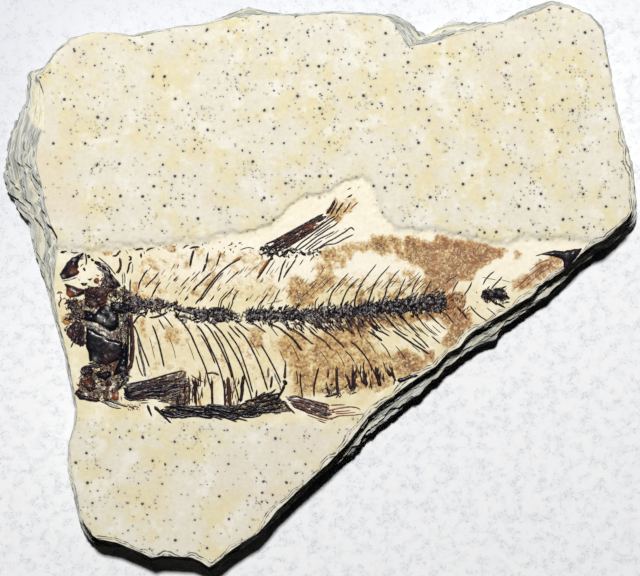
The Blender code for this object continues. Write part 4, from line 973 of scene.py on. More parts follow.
bone_piece("skull_roof_bone", "black_bone", [
    # Painted highlight: the pale spot at -41.0 4.0 is a white glint in the dark lens.
    relief("""-434 51,-427 50,-419 43,-410 35,-403 28,-394 19,-386 10,-381 1,-389 2,-396 9,-404 17,
      -410 28,-418 36,-426 41,
      -434 45""", 0.75, 0.2, 51, [(-41.0, 4.0, 0.45, -0.9), (-39.4, 1.3, 0.3, -0.6)], 0.45),
    relief("-417 27,-409 24,-400 12,-388 2,-404 -3,-409 1,-414 12",
           0.5, 0.28, 52, [(-40.5, 1.5, 0.5, -0.5), (-40.9, 0.6, 0.3, -0.6)], 0.7),
    relief("-424 43,-418 43,-411 36,-412 33,-420 36", 0.85, 0.02, 53, (), 0.2),
    strands(""".25 .13:-427 58,-417 50,-406 40,-398 30,-393 23;-.9 .2:-420 47,-413 42,-408 37,-404 32;
      .35 .14:-430 40,-422 35,-415 32,-407 22,-402 13,-395 6;.2 .2:-447 16,-442 15,-438 18;.3 .32:-460 8,
      -453 6,-447 8;.2 .14:-448 4,-440 1,-432 0,-426 3;.5 .14:-464 16,-461 13;.5 .16:-430 25,-427 22,-424 24;
      -.6 .1:-418 33,-419 25,-416 19;-.6 .1:-412 28,-414 22,-411 16;.35 .16:-433 -10,-424 -1,-419 8,-414 11;
      .15 .16:-403 -4,-394 0,-384 2;.3 .26:-399 -7,-394 -6,-390 -6""", 54),
    relief("-436 14,-431 19,-426 18,-424 11,-428 6,-435 8", 0.4, 0.72, 55),
    crumbs_in(drawn("30 .07 .18 .15/.35/-.5/.5 .25:-424 14,-408 26,-386 4,-400 -4,-426 -3"), 56),
], ["skull_roof"])

EYE_SOCKET = at("""-453 -41,-442 -44,-435 -50,-429 -45,-422 -36,-412 -32,-403 -35,-396 -46,-388 -49,-385 -66,
    -390 -80,-403 -85,-415 -77,-428 -69,-440 -66,-452 -63""")
bone_piece("eye_socket_bone", "black_bone", [
    relief("""-453 -3,-440 0,-424 1,-412 -1,-407 -12,-410 -24,-416 -33,-430 -39,-444 -41,-452 -32,
      -452 -16""", 0.55, 0.45, 61,
           "-420 -8 4 -4,-447 -16 6 1.5,-434 -30 4 -3.5,-430 -22 5 2",
           0.9, 0.8),
    # Painted highlights: the pale spots on the eye's dark mass stand for its grey-white glints.
    relief(EYE_SOCKET, 0.85, 0.02, 62, """-420 -59 6 -7.5,-402 -50 4 -7,-408 -39 3.5 -9,-444 -57 4 2.5,
      -410 -66 5 -4.5,-399 -58 4 -8""", 0.42, 1.5),
    relief("""-404 -29,-390 -27,-377 -29,-364 -32,-362 -46,-376 -50,-390 -50,
      -402 -44""", 0.55, 0.12, 63, [(-39.0, -3.4, 0.3, -0.6), (-37.6, -4.2, 0.3, -0.4)], 0.95, 0.7),
    strands(""".12 .2:-444 -10,-447 -22,-442 -32,-436 -36;.2 .14:-438 -22,-429 -26,-423 -32;
      .85 .16:-420 -26,-414 -22,-410 -19;.3 .12:-419 -30,-413 -26,-409 -21;.05 .22:-452 -42,-451 -54,
      -452 -63;-.9 .2:-434 -44,-432 -49,-429 -52;-.7 .26:-450 -67,-436 -72,-420 -79,-406 -86,-395 -97;
      -.9 .14:-426 -70,-420 -74,-418 -81;-.5 .14:-448 -73,-434 -79,-422 -86;.1 .18:-392 -52,-389 -66,
      -393 -80;.2 .2:-387 -65,-379 -63,-376 -72,-384 -74;-.6 .14:-386 -54,-379 -54,-373 -62""", 64),
    crumbs_in(drawn("""45 .06 .18 .05/.15/.3/.45/-.6/.1 .45:-453 -4,-410 0,-394 -26,-360 -20,-360 -54,
      -386 -84,-420 -72,-452 -64;34 .08 .2 .05/.3/-.6/-.8 .3:-392 -54,-369 -50,-369 -105,-386 -100,
      -394 -84"""),
              65),
], ["eye_socket_bones"])

CHEEK = at("""-450 -76,-436 -80,-420 -88,-406 -97,-392 -100,-380 -104,-379 -122,-384 -136,-396 -142,
    -410 -148,-428 -146,-436 -140,-444 -142,-445 -126,-450 -113""")
bone_piece("cheek_bone", "black_bone", [
    relief(CHEEK, 0.5, 0.0, 71, """-402 -124 17 3.4,-412 -140 12 4.2,-414 -94 3.5 -7,-401 -109 3 -5,
      -413 -130 3 -4,-432 -136 4 -6""",
           0.22, 1.3),
    strands(""".02 .24:-446 -78,-446 -100,-444 -124;-.9 .14:-404 -92,-401 -95;-.5 .1:-409 -104,
      -404 -108,-399 -112;-.5 .1:-410 -124,-412 -132;.35 .18:-446 -144,-434 -145,-422 -149;-.6 .1:-389 -106,
      -383 -112,-379 -115,-375 -110""", 72),
    crumbs_in(drawn("24 .08 .18 -.7/-.5/.4/.2 .25:-449 -68,-418 -76,-392 -94,-396 -100,-420 -88,-450 -77"),
              73),
], ["cheek_bones"])

bone_piece("snout_side_bone", "brown_bone", [
    relief("""-469 -62,-476 -68,-486 -79,-489 -89,-482 -96,-474 -105,-466 -109,-454 -113,-452 -94,
      -454 -74,-460 -66""", 0.55, 0.34, 81,
           "-477 -82 2.5 -9,-482 -88 6 6.2,-469 -96 6 2", 0.9, 0.7),
    strands(""".1 .12:-457 -74,-456 -90,-457 -106;-.7 .1:-459 -76,-459 -92,-460 -104;.12 .1:-462 -76,
      -462 -90,-462 -108;-.6 .12:-453 -76,-452 -94,-453 -110;.2 .14:-466 -72,-467 -88,-466 -102;
      .35 .24:-484 -59,-474 -54,-466 -58,-460 -64;.3 .3:-476 -46,-469 -50,-464 -56,-458 -54;.2 .14:-482 -40,
      -476 -43,-470 -48;-.6 .12:-476 -49,-471 -52""", 82),
    relief("-498 -64,-488 -60,-479 -62,-480 -70,-490 -71", 0.25, 0.95, 83, (), 0.8),
    crumbs_in(drawn("60 .06 .2 .2/.35/.5/.1/-.5 .3:-488 -44,-462 -42,-453 -50,-452 -109,-472 -106,-490 -86"),
              84),
], ["snout_side_bone"])

bone_piece("gill_cover_bone", "black_bone", [
    relief("""-374 -99,-370 -120,-372 -144,-373 -159,-380 -163,-399 -168,-396 -157,-389 -143,-382 -126,
      -379 -110""", 0.7, 0.04, 91,
           [(-37.9, -15.4, 0.3, -0.5), (-37.9, -13.0, 0.3, 0.2)], 0.5),
    relief("-384 -150,-372 -150,-368 -164,-368 -179,-376 -181,-384 -172",
           0.6, 0.08, 92, [(-38.1, -16.0, 0.35, -0.6), (-37.4, -17.3, 0.3, -0.5)], 0.95, 0.6),
    strands("""-.6 .16:-387 -176,-380 -174,-374 -170;.25 .14:-390 -176,-388 -188,-389 -198;
      .2 .14:-382 -184,-376 -186""", 93),
    crumbs_in(drawn("46 .07 .2 .05/.2/-.6/-.4/.45 .3:-388 -150,-366 -150,-366 -194,-388 -198,-392 -174"),
              94),
], ["gill_cover"])

bone_piece("jaw_branch_bone", "brown_bone", [
    # Painted highlight: the small pale spot at -45.6 -16.2 is a glint.
    relief("""-461 -159,-456 -151,-439 -150,-435 -160,-439 -170,-432 -184,-432 -194,-440 -201,-448 -196,
      -453 -186,-450 -173,-457 -166""",
           0.5, 0.35, 101, """-456 -154 6 2,-440 -156 7 0.8,-448 -182 7 7.2,-456 -162 2.2 -10,
             -443 -173 5 5""", 0.9, 0.7),
    strands(""".3 .3:-460 -158,-453 -152,-443 -150,-430 -150,-420 -152;.4 .09:-458 -167,-462 -171,
      -465 -174;.35 .12:-441 -166,-436 -176,-429 -184,-423 -188;.3 .2:-468 -184,-464 -186,-462 -189;
      .2 .3:-444 -193,-438 -190,-432 -188;.6 .2:-424 -149,-416 -151,-408 -153,-399 -156;.72 .24:-399 -144,
      -395 -152,-394 -162""", 102),
    crumbs_in(drawn("""60 .06 .18 .3/.5/.8/-.6/.15 .25:-460 -162,-436 -154,-426 -186,-434 -204,-464 -194;
      26 .06 .18 .4/.55/.3/.7 .2:-434 -148,-394 -144,-396 -162,-426 -158"""), 103),
], ["jaw_branch"])

bone_piece("tongue_plate_bone", "black_bone", [
    relief("""-433 -165,-420 -162,-409 -158,-402 -160,-400 -166,-404 -173,-413 -177,
      -424 -173""", 0.6, 0.06, 111, [(-41.6, -16.9, 0.5, 0.2)], 0.5),
    relief("-410 -175,-403 -176,-399 -186,-406 -189,-414 -188", 0.4, 0.4, 112,
           [(-40.2, -18.3, 0.3, 0.75)], 0.6),
    strands(".1 .14:-436 -164,-426 -163,-416 -161;.8 .1:-424 -179,-416 -183,-412 -187", 113),
], ["tongue_plate"])

bone_piece("lower_jaw_bone", "black_bone", [
    relief("""-472 -202,-469 -196,-462 -193,-455 -199,-450 -205,-438 -206,-428 -210,-420 -216,-430 -219,
      -445 -217,-462 -213""", 0.65, 0.26, 121,
           "-438 -211 6 4.5,-455 -203 2.2 -8,-464 -200 6 3.4", 0.5),
    strands(""".12 .15:-423 -217,-415 -219,-403 -226,-392 -229,-383 -230;.25 .2:-410 -211,-398 -218,
      -386 -222,-370 -227;-.7 .14:-416 -216,-402 -222,-388 -226;.3 .14:-420 -216,-410 -215,-400 -218;
      .3 .12:-370 -222,-364 -228,-356 -226,-349 -229;-.7 .16:-383 -206,-382 -216;.5 .14:-418 -205,
      -414 -210""", 122),
    relief("-395 -196,-387 -199,-386 -216,-394 -216,-402 -214,-400 -204",
           0.35, 0.66, 123, [(-39.2, -20.8, 0.4, 0.9)], 0.9, 0.5),
    crumbs_in(drawn("""85 .05 .16 .5/-.9/.65/.35/-.8/.8 .2:-438 -191,-424 -188,-408 -192,-396 -199,-386 -218,
      -416 -215,-434 -208;30 .05 .14 .4/.55/.7 .15:-372 -221,-346 -223,-346 -233,-372 -233"""),
              124),
], ["lower_jaw"])

bone_piece("shoulder_bar_bone", "brown_bone", [
    strands(""".1 .22:-370 -54,-369.5 -80,-370 -120,-372 -150;.5 .3/.38:-364 -50,-362 -80,-360 -105,
      -361 -130,-366 -156;-.9 .16:-362 -91,-356 -94;-.8 .11:-367 -125,-367 -132;.2 .16:-367 -60,-365 -90,
      -365 -120,-367 -140;.3 .14:-367 -144,-370 -160,-370 -175;.08 .3:-377 -10,-378 -22,-375 -35;
      .05 .16:-387 -2,-376 -7,-364 -9;.1 .15:-366 -7,-366 4,-365 16;.2 .28:-377 5,-376 -4;-.6 .14:-380 4,
      -380 16,-381 28;-.4 .12:-376 6,-376 20,-378 30;.2 .4:-370 -18,-361 -26,-356 -36;.3 .3:-359 -16,
      -351 -19,-346 -15;.4 .14:-369 -56,-363 -74;.15 .14:-391 -13,-392 -22;.2 .16:-386 -18,
      -383 -26""", 131),
    crumbs_in(drawn("40 .08 .2 .1/.25/.45/-.5 .35:-380 2,-362 -6,-350 -14,-344 -36,-364 -52,-376 -36"),
              132),
], ["shoulder_bar"])

# Splinters of the skull's thin bones lie in heaps between its plates.
SKULL_ZONES = drawn("""34 .5/1.5 .05/.14 70 80 .2/.35/.5/-.5:-488 -23,-452 -20,-452 -60,-485 -65;
    46 .4/1.3 .05/.15 30 90 .1/.3/.5/.62/-.4:-453 2,-410 9,-386 -26,-410 -34,-452 -40;
    54 .4/1.4 .06/.16 80 70 .1/.2/.35/-.5/.5:-400 -6,-360 -8,-344 -20,-345 -48,-370 -60,-394 -50;
    44 .5/1.6 .05/.14 95 40 .05/.2/-.6/.4/-.8:-392 -50,-369 -50,-369 -106,-392 -96;
    70 .4/1.5 .05/.14 150 70 .3/.5/.65/-.7/.15:-462 -160,-430 -150,-395 -155,-386 -180,-386 -220,-440 -210,
    -468 -196;26 .4/1.2 .06/.16 100 60 .05/.2/-.6/-.4:-389 -150,-365 -150,-364 -184,-388 -200;
    40 .5/2 .06/.14 88 25 .2/.35/.5/-.5:-476 -68,-452 -72,-452 -112,-478 -106;
    46 .5/2.4 .05/.11 118 28 .02/.1/.25/.35/.3:-418 -96,-382 -102,-384 -140,-428 -146;
    26 .6/1.8 .06/.13 135 25 .2/.35/-.6:-434 50,-414 46,-382 8,-394 0,-414 20""")
bone_piece("skull_splinters", "black_bone", [strands(splinters(SKULL_ZONES, 141), 142)])

# The vertebral column: a row of spool-shaped centra with their spines, crushed and smeared along its length.
# It is in two runs with bare stone between them, and a last lump of centra lies by the tail.
FRONT_LINE = [(-36.0, -3.1, 0.75), (-34.3, -3.2, 0.7), (-32.6, -3.5, 0.5)]
FRONT_REST = [(-23.5, -5.0, 0.7), (-22.6, -5.1, 0.85), (-21.0, -5.1, 0.6), (-19.4, -5.1, 0.95),
    (-17.8, -5.3, 0.6)]
REAR_LINE = [(-13.6, -5.4, 0.85), (-12.0, -5.5, 0.95), (-9.0, -5.4, 0.95), (-5.0, -5.4, 1.0),
    (-1.0, -5.1, 1.05),
             (4.0, -4.6, 1.1), (8.7, -4.0, 1.1), (12.0, -3.75, 1.15), (16.0, -3.35, 1.3), (20.0, -3.0, 1.3),
             (22.4, -2.7, 1.35)]


def centra(line, pitch, seed):
    """The run of centra along a middle line that gives their half height at each place."""
    even = resample(line, 0.5)
    points = place(even[:, :2], 0.0)
    links = [(i, i + 1) for i in range(len(points) - 1)]
    draw = np.random.default_rng(seed)
    tones = draw.choice([0.03, 0.1, 0.2, 0.32], len(points))
    corners, faces, tones, _ = grown(centra_tree, points, links, even[:, 2] * MM, tones,
                                     {"Seed": float(seed), "Pitch": pitch * MM})
    pale = np.clip(3.2 * waves(corners / MM, 0.5, seed) - 0.35, 0.0, 0.95)
    return corners, faces, tones, pale


def crushed(outline, thickness, seed):
    """A band of crushed bone: a low relief, mottled with worn grains."""
    draw = np.random.default_rng(seed)
    spots = scattered(0.62, outline, seed)
    tints = [(x, y, draw.uniform(0.14, 0.32), draw.choice([-0.9, -0.7, -0.5, 0.4, 0.02])) for x, y in spots]
    return relief(outline, thickness, 0.1, seed, tints, 0.95, 0.6, 0.22)


bone_piece("vertebrae_front", "black_bone", [
    crushed(at("-364 -20,-344 -17,-337 -28,-340 -43,-360 -46"), 0.5, 205),
    crushed(at("-236 -41,-215 -40,-215 -63,-233 -65"), 0.5, 206),
    crushed(at("-209 -41,-194 -38,-181 -42,-182 -60,-196 -64,-208 -61"), 0.55, 207),
    crushed(at("-332 -24,-324 -23,-319 -32,-324 -42,-333 -38"), 0.4, 208),
    centra(FRONT_LINE, 1.7, 201),
    centra(FRONT_REST, 1.9, 202),
    strands(""".2 .24:-322 -26,-312 -22,-304 -27,-304 -36,-312 -42,-320 -38;.25 .32:-302 -32,-292 -33,
      -277 -31;.25 .2:-283 -35,-280 -48;.3 .28:-274 -42,-260 -45,-248 -49,-240 -50;.35 .22:-330 -57,-318 -56,
      -305 -52,-294 -46;.3 .36:-270 -62,-263 -62;.35 .16:-264 -52,-252 -60,-243 -64;.2 .28:-174 -48,-170 -56;
      .3 .24:-164 -51,-160 -59;.25 .2:-339 -20,-332 -26,-324 -25;.45 .3:-236 -42,-230 -52,-226 -64;
      .2 .26:-208 -42,-200 -39,-190 -42;.2 .26:-206 -61,-194 -64,-184 -60;.3 .14:-328 -32,-324 -16,-319 -5,
      -312 6,-307 11;.35 .13:-195 -44,-192 -27,-186 -19,-176 -9,-168 1;.4 .09:-199 -40,-195 -24,-188 -15,
      -180 -6;.35 .13:-179 -47,-172 -32,-170 -21,-164 -11,-158 -5;.3 .12:-181 -44,-178 -34,
      -176 -27""", 203),
    crumbs_in(drawn("""70 .08 .24 .1/.25/.4/-.5/.5 .4:-364 -18,-334 -20,-300 -22,-276 -28,-276 -44,-310 -44,
      -360 -46;40 .07 .2 .15/.3/.5/-.4 .3:-280 -34,-240 -40,-236 -66,-274 -64;
      90 .08 .24 .1/.25/.4/-.5/.2 .5:-238 -38,-216 -42,-180 -38,-159 -52,-162 -62,-204 -66,
      -234 -67"""), 204),
], ["backbone_front"])

bone_piece("vertebrae_rear", "black_bone", [
    crushed(at("""-140 -48,-126 -45,-110 -47,-80 -45,-60 -48,-20 -43,0 -44,20 -40,50 -38,80 -33,96 -35,
      110 -32,130 -26,144 -28,155 -24,180 -22,200 -17,214 -18,228 -12,232 -22,226 -30,230 -39,210 -41,
      196 -45,180 -43,164 -47,150 -45,134 -49,110 -47,80 -51,50 -53,20 -57,2 -56,-20 -60,-42 -58,-60 -62,
      -80 -60,-100 -63,-120 -61,-142 -63"""), 0.42, 216),
    centra(REAR_LINE[:6], 2.1, 211),
    centra(REAR_LINE[6:], 2.6, 212),
    centra([(4.8, -4.5, 1.1), (8.0, -4.1, 1.1)], 2.2, 213),
    strands(""".35 .14:-126 -49,-121 -33,-113 -23,-103 -10;.4 .08:-120 -44,-116 -30,-109 -20;
      .35 .13:-100 -48,-97 -32,-92 -26,-87 -15,-80 -2;.3 .13:-15 -46,-14 -36,-13 -26,-7 -18;.3 .2/.1:10 -45,
      10 -38,13 -24,18 -10,25 -1,35 12,50 28;.3 .2/.1:35 -44,36 -34,39 -23,44 -11,51 0,60 10,71 18;
      .28 .2/.1:61 -40,61 -30,63 -18,69 -3,74 6,80 16,90 29,103 45;.28 .2/.1:87 -38,87 -30,90 -18,95 -4,
      100 8,110 22,120 33,128 42;.28 .2/.1:114 -35,114 -27,119 -15,122 -2,128 10,136 23,147 34;
      .28 .2/.1:140 -32,141 -24,145 -13,150 2,154 10,158 19;.28 .2/.1:164 -30,164 -23,169 -13,173 0,179 12,
      188 24;.3 .2/.1:190 -28,194 -12,200 2,208 16;.4 .12:12 -59,17 -66,23 -73;.4 .12:43 -60,47 -69,51 -77;
      .35 .18/.1:60 -48,63 -53,70 -62,78 -70;.3 .2/.1:89 -47,91 -54,98 -64,106 -73,113 -78;
      .28 .22/.12:115 -46,118 -52,128 -64,138 -76,146 -83,155 -89,164 -93;.28 .22/.12:147 -43,149 -51,
      158 -64,165 -73,175 -83,186 -93;.3 .2/.1:174 -43,176 -50,185 -61,192 -71,202 -81,217 -92;
      .3 .2/.1:215 -34,217 -38,228 -46,238 -53,245 -63,252 -69;.3 .2/.12:194 -42,206 -54,216 -64,224 -71""",
            214),
    crumbs_in(drawn("""150 .08 .26 .1/.25/.4/-.5/.5 .5:-142 -44,-110 -41,-50 -42,0 -38,50 -34,80 -31,80 -52,
      20 -58,-40 -66,-120 -70,-142 -64;150 .08 .26 .05/.2/.35/-.5/.3 .6:80 -30,130 -24,180 -18,229 -8,
      229 -43,150 -49,80 -52;26 .08 .2 .6/.75/.5 .2:230 -12,266 -14,266 -36,230 -42"""),
              215),
], ["backbone_rear"])

bone_piece("vertebrae_tail", "black_bone", [
    relief("""300 -18,304 -6,310 -3,317 -2,323 -4,330 0,340 0.5,348 -5,350 -13,357 -20,353 -23,348 -21,
      345 -25,330 -23,317 -26,308 -23""", 0.85, 0.12, 221,
           "320 -12 3 -5,336 -10 3 -5,344 -16 4 4.5,310 -16 4 4", 0.95, 0.8),
    strands(""".3 .2:320 -25,335 -32,348 -39;.2 .2:292 -8,294 -11;.3 .18:293 -27,296 -29;
      .3 .16:289 -39,292 -41;.3 .16:312 -4,318 3;.4 .14:306 -24,314 -30""", 222),
    crumbs_in(drawn("60 .08 .22 .05/.3/-.7/.5/-.5 .7:300 -18,310 -2,342 1,356 -21,330 -25,310 -25"),
              223),
], ["tail_vertebrae"])

# The column's crushed processes: short splinters across it and along its edges.
COLUMN_ZONES = drawn("""80 .5/1.5 .08/.22 60 90 .1/.25/-.7/-.5/.55:-364 -18,-334 -18,-300 -22,-276 -28,
    -276 -46,-310 -48,-360 -50;90 .5/1.4 .08/.24 60 90 .1/.25/-.7/-.5/.55:-280 -34,-240 -38,-180 -36,
    -158 -50,-162 -64,-204 -68,-274 -66;120 .5/1.5 .06/.14 60 80 .1/.25/-.6/-.8/.35:-144 -41,-60 -39,20 -34,
    80 -28,80 -60,20 -66,-60 -70,-144 -68;100 .5/1.6 .06/.14 60 80 .05/.2/-.6/-.7/.35:80 -28,155 -17,200 -12,
    234 -4,234 -44,150 -53,80 -58;130 .6/1.6 .08/.18 128 24 .1/.3/-.6/.2/-.4:-140 -58,80 -46,230 -34,230 -50,
    80 -62,-140 -72;130 .6/1.6 .08/.18 52 24 .1/.3/-.6/.2/-.4:-140 -50,80 -38,230 -18,230 -4,80 -24,-140 -39;
    22 .4/1.3 .06/.14 60 90 .2/.4/-.7/-.9:-162 -42,-136 -42,-136 -66,-162 -66;
    60 .7/2.2 .06/.14 128 18 .3/.45/.55/.2:-90 -62,-30 -64,30 -60,90 -55,110 -74,80 -92,20 -82,-60 -80;
    34 .5/1.8 .05/.1 50 25 .6/.75/.5/.9:230 -8,270 -10,280 -46,240 -54,210 -46;
    44 .4/1.2 .06/.15 60 90 .05/.3/.5/-.6/-.8:300 -18,310 -2,344 2,358 -21,344 -36,310 -28""")
bone_piece("column_splinters", "black_bone", [strands(splinters(COLUMN_ZONES, 226), 227)])

# Loose neural spines over the front of the column, each its own bone. The fourth is a double, grooved one.
NEURAL_SPINES = [
    drawn(".35 .16:-350 -3,-348 8,-343 18,-337 28,-332 34;.45 .09:-341 22,-339 31"),
    drawn(".35 .15:-338 -1,-330 8,-320 18,-311 29"),
    drawn(".35 .18:-248 -7,-240 2,-231 10,-223 18,-211 29"),
    drawn(""".3 .17:-242 -32,-238 -26,-231 -19,-224 -8,-213 7,-200 23,-193 30,-180 41,-169 48,-155 55;
      .4 .14:-234 -27,-226 -18,-219 -8,-208 7,-196 22,-188 29;.9 .22:-170 50,-160 56,-152 59"""),
]
for number, courses in enumerate(NEURAL_SPINES, 1):
    bone_piece(f"neural_spine_bone_{number}", "brown_bone",
               [strands(courses, 230 + number)], [f"neural_spine_{number}"])

# The fine bones between the muscles lie like hairs over and under the column, all about parallel.
HAIRS = drawn(""".4 .09:-329 -24,-322 -12,-316 -4;.5 .06:-289 32,-280 46;.4 .12:-277 36,-273 45;
    .35 .14:-284 12,-277 20;.45 .08:-281 10,-274 18;.35 .13:-281 -12,-276 -5;.3 .13:-274 -13,-271 -10;
    .3 .2:-263 -25,-255 -17;.4 .13:-267 -5,-260 3;.4 .14:-300 20,-298 22;.4 .14:-271 -22,-269 -20;
    .4 .12:-270 2,-259 14,-252 21;.45 .1:-252 11,-238 25,-232 32;.4 .11:-248 23,-242 30;.35 .12:-258 -40,
    -256 -35;.35 .14:-215 -27,-209 -20,-206 -14;.35 .12:-200 -7,-193 0;.4 .09/.16:-185 7,-172 20,-158 32;
    .3 .2:-146 -26,-141 -19;.4 .12:-148 19,-143 24;.5 .05:-143 24,-132 34,-120 45;.5 .06:-105 -28,-90 -7;
    .5 .06:-108 -32,-92 -28,-75 -24;.4 .1:-118 8,-112 17;.45 .07:160 10,175 20,185 30;.5 .06:132 12,145 10,
    150 12;.4 .12:223 -5,227 1;.4 .1:233 7,246 18,258 24;.4 .14:247 -9,251 0,255 7,259 14;.35 .15:269 -15,
    274 -8,280 1,284 11;.35 .14:305 5,310 15,318 24,327 31;.35 .15:320 -4,328 6,335 13,342 21;.55 .06:303 20,
    316 17,330 15;.55 .06:340 15,358 10;.45 .09:168 -108,177 -115,186 -123;.4 .12:221 -68,228 -75,236 -80;
    .3 .2:255 -36,263 -44,270 -52,275 -60;.35 .14:280 -34,288 -44,300 -55,313 -63;.4 .1:312 -38,322 -46,
    330 -53;.35 .16:170 -95,182 -105,197 -117;.35 .14:207 -92,215 -99,224 -107;.35 .16:93 -75,105 -82,
    116 -86,128 -93;.4 .1:-346 -6,-340 -8;.4 .1:-303 75,-302 77""")
draw = np.random.default_rng(240)
for x in np.arange(-4.0, 22.0, 0.62):
    for top, low, high in ((True, -1.9, 3.6), (False, -9.2, -6.2)):
        foot_x = x + draw.uniform(-0.3, 0.3)
        foot_y = draw.uniform(low, low + 2.2) if top else high - draw.uniform(0.0, 1.4)
        reach = draw.uniform(1.2, 2.9)
        slope = draw.uniform(0.85, 1.15) if top else draw.uniform(-1.1, -0.75)
        rise = reach * slope / math.hypot(1.0, slope)
        stride = reach / math.hypot(1.0, slope)
        HAIRS.append((draw.uniform(0.35, 0.65), 0.075, [
            (foot_x, foot_y), (foot_x + stride * 0.45, foot_y + rise * 0.5),
            (foot_x + stride, foot_y + rise)]))
for x in np.arange(-33.0, 0.0, 0.8):
    foot_x, foot_y = x + draw.uniform(-0.5, 0.5), draw.uniform(-2.8, 3.2)
    HAIRS.append((draw.uniform(0.45, 0.7), 0.06, [(foot_x, foot_y), (foot_x + 0.5, foot_y + 0.7),
                                                   (foot_x + 0.9, foot_y + 1.3)]))
bone_piece("muscle_bones", "brown_bone", [strands(HAIRS, 241, Spacing=0.00025)])

# The ribs, each its own slender bone from its head by the column down towards the belly.
RIBS = [
    drawn(""".4 .17:-360 -70,-353 -85,-348 -100,-342 -118,-336 -132,-329 -152;.4 .2:-360 -70,-353 -58,
      -344 -52,-336 -58"""),
    drawn("""-.35 .24:-350 -100,-348 -115,-344 -135,-340 -150,-337 -170;.4 .14:-355 -128,-351 -145,-347 -158,
      -341 -170;.3 .1:-352 -94,-350 -114,-347 -132"""),
    drawn(".35 .18:-324 -71,-319 -82,-313 -100,-308 -120,-304 -138,-301 -152"),
    drawn(""".35 .2/.15:-283 -51,-270 -62,-261 -73,-251 -88,-243 -106,-236 -122,-228 -140,-221 -158,
      -217 -175,-212 -192,-210 -200"""),
    drawn(""".35 .2/.15:-240 -71,-231 -81,-222 -96,-213 -115,-205 -132,-199 -146,-193 -164,-189 -180,
      -186 -200"""),
    drawn(".4 .16:-232 -89,-223 -103,-212 -125,-204 -145"),
    drawn(".35 .18:-226 -68,-219 -74,-212 -83,-205 -95,-196 -110,-187 -129,-180 -145,-175 -160,-172 -173"),
    drawn(".35 .16:-207 -81,-199 -94,-190 -110,-182 -130,-175 -150,-170 -170,-165 -190,-161 -205,-159 -220"),
    drawn(""".32 .2/.16:-216 -63,-207 -70,-198 -79,-190 -88,-180 -103,-170 -120,-160 -138,-153 -153,
      -148 -168,-142 -185,-137 -201,-133 -218"""),
    drawn(".35 .16:-181 -83,-173 -94,-162 -110,-156 -123,-150 -140,-144 -158,-139 -175,-135 -190,-132 -200"),
    drawn(".35 .16:-179 -71,-167 -85,-156 -96"),
    drawn(".33 .18:-168 -73,-159 -82,-149 -92,-139 -108,-131 -123,-123 -140,-116 -158,-110 -177,-104 -196"),
    drawn(".35 .17:-118 -108,-110 -120,-101 -136,-92 -153,-86 -165,-79 -182"),
    drawn(".32 .18/.26:-104 -65,-95 -71,-82 -77,-72 -85,-60 -94,-50 -105,-43 -115,-38 -120"),
    drawn(""".35 .17:-70 -75,-55 -80,-42 -88,-32 -96,-22 -105,-16 -108;.45 .09:-66 -79,-52 -85,-39 -93,
      -30 -101"""),
    drawn(".35 .17:-25 -83,-13 -91,-2 -98,6 -104,13 -113,17 -118"),
    drawn(".33 .18:-20 -69,-8 -72,3 -82,16 -90,27 -100,36 -108,42 -116"),
    drawn(".35 .2/.15:52 -101,63 -110,72 -119,83 -133,92 -149,100 -165,106 -180"),
]
for number, courses in enumerate(RIBS, 1):
    bone_piece(f"rib_bone_{number:02d}", "brown_bone", [strands(courses, 250 + number)],
               [f"rib_{number:02d}"])

# Shorter splints between the ribs: rib heads, and pieces of the ribs of the other side.
bone_piece("rib_splints", "brown_bone", [strands(""".35 .15:-312 -60,-306 -70,-300 -81;.4 .14:-303 -53,
    -294 -63,-284 -77;.35 .15:-162 -66,-150 -75,-139 -83;.35 .16:-139 -64,-123 -74,-107 -86;.4 .1:-100 -73,
    -92 -83,-84 -93;.2 .2:-12 -62,-4 -70,3 -80;.5 .1:-209 -200,-209 -214,-209 -226;.5 .08:-82 -118,-74 -136,
    -68 -150;.5 .08:-58 -110,-50 -126,-43 -142;.5 .07:-256 -104,-249 -122,-243 -140;.5 .07:-292 -94,
    -284 -114,-279 -136;.5 .08:26 -120,36 -136,43 -152;.55 .07:-329 -94,-324 -114,-319 -136;.5 .07:-138 -98,
    -126 -118,-119 -132;.5 .07:-6 -119,4 -132,12 -146;.45 .12:42 -119,53 -130,62 -144;.45 .12:110 -104,
    122 -118,130 -134;.5 .09:138 -110,150 -124,158 -138;.5 .09:79 -94,91 -109,102 -126""", 270)])

# The small bones before the back fin, in a row under the line of the back. The front ones are red.
PREDORSALS = {
    "predorsal_1": ("red_bone", drawn(""".5 .26:-386 57,-384 48,-384 40,-387 32,-389 26;.72 .22:-382 37,
      -388 32,-393 27;.3 .18:-384 70,-389 65,-392 61,-400 60;.3 .24:-387 70,-383 69""")),
    "predorsal_2": ("brown_bone", drawn(""".3 .24:-369 59,-365 58,-365 53,-369 52;.4 .2:-362 49,-367 45,
      -369 36,-372 26;-.5 .11:-361 46,-361 36,-363 26""")),
    "predorsal_3": ("brown_bone", drawn(""".4 .2:-253 74,-244 77,-233 77;.4 .24:-244 72,-248 60,-250 50,
      -252 39;.4 .16:-266 74,-258 80,-254 80;.45 .14:-269 56,-267 57""")),
    "predorsal_4": ("brown_bone", drawn(""".4 .14/.28:-217 68,-220 52,-221 46;.4 .28/.18:-221 46,-225 36,
      -228 29""")),
}
for node, (slot, courses) in PREDORSALS.items():
    bone_piece(node + "_bone", slot, [strands(courses, 280 + int(node[-1]))], [node])
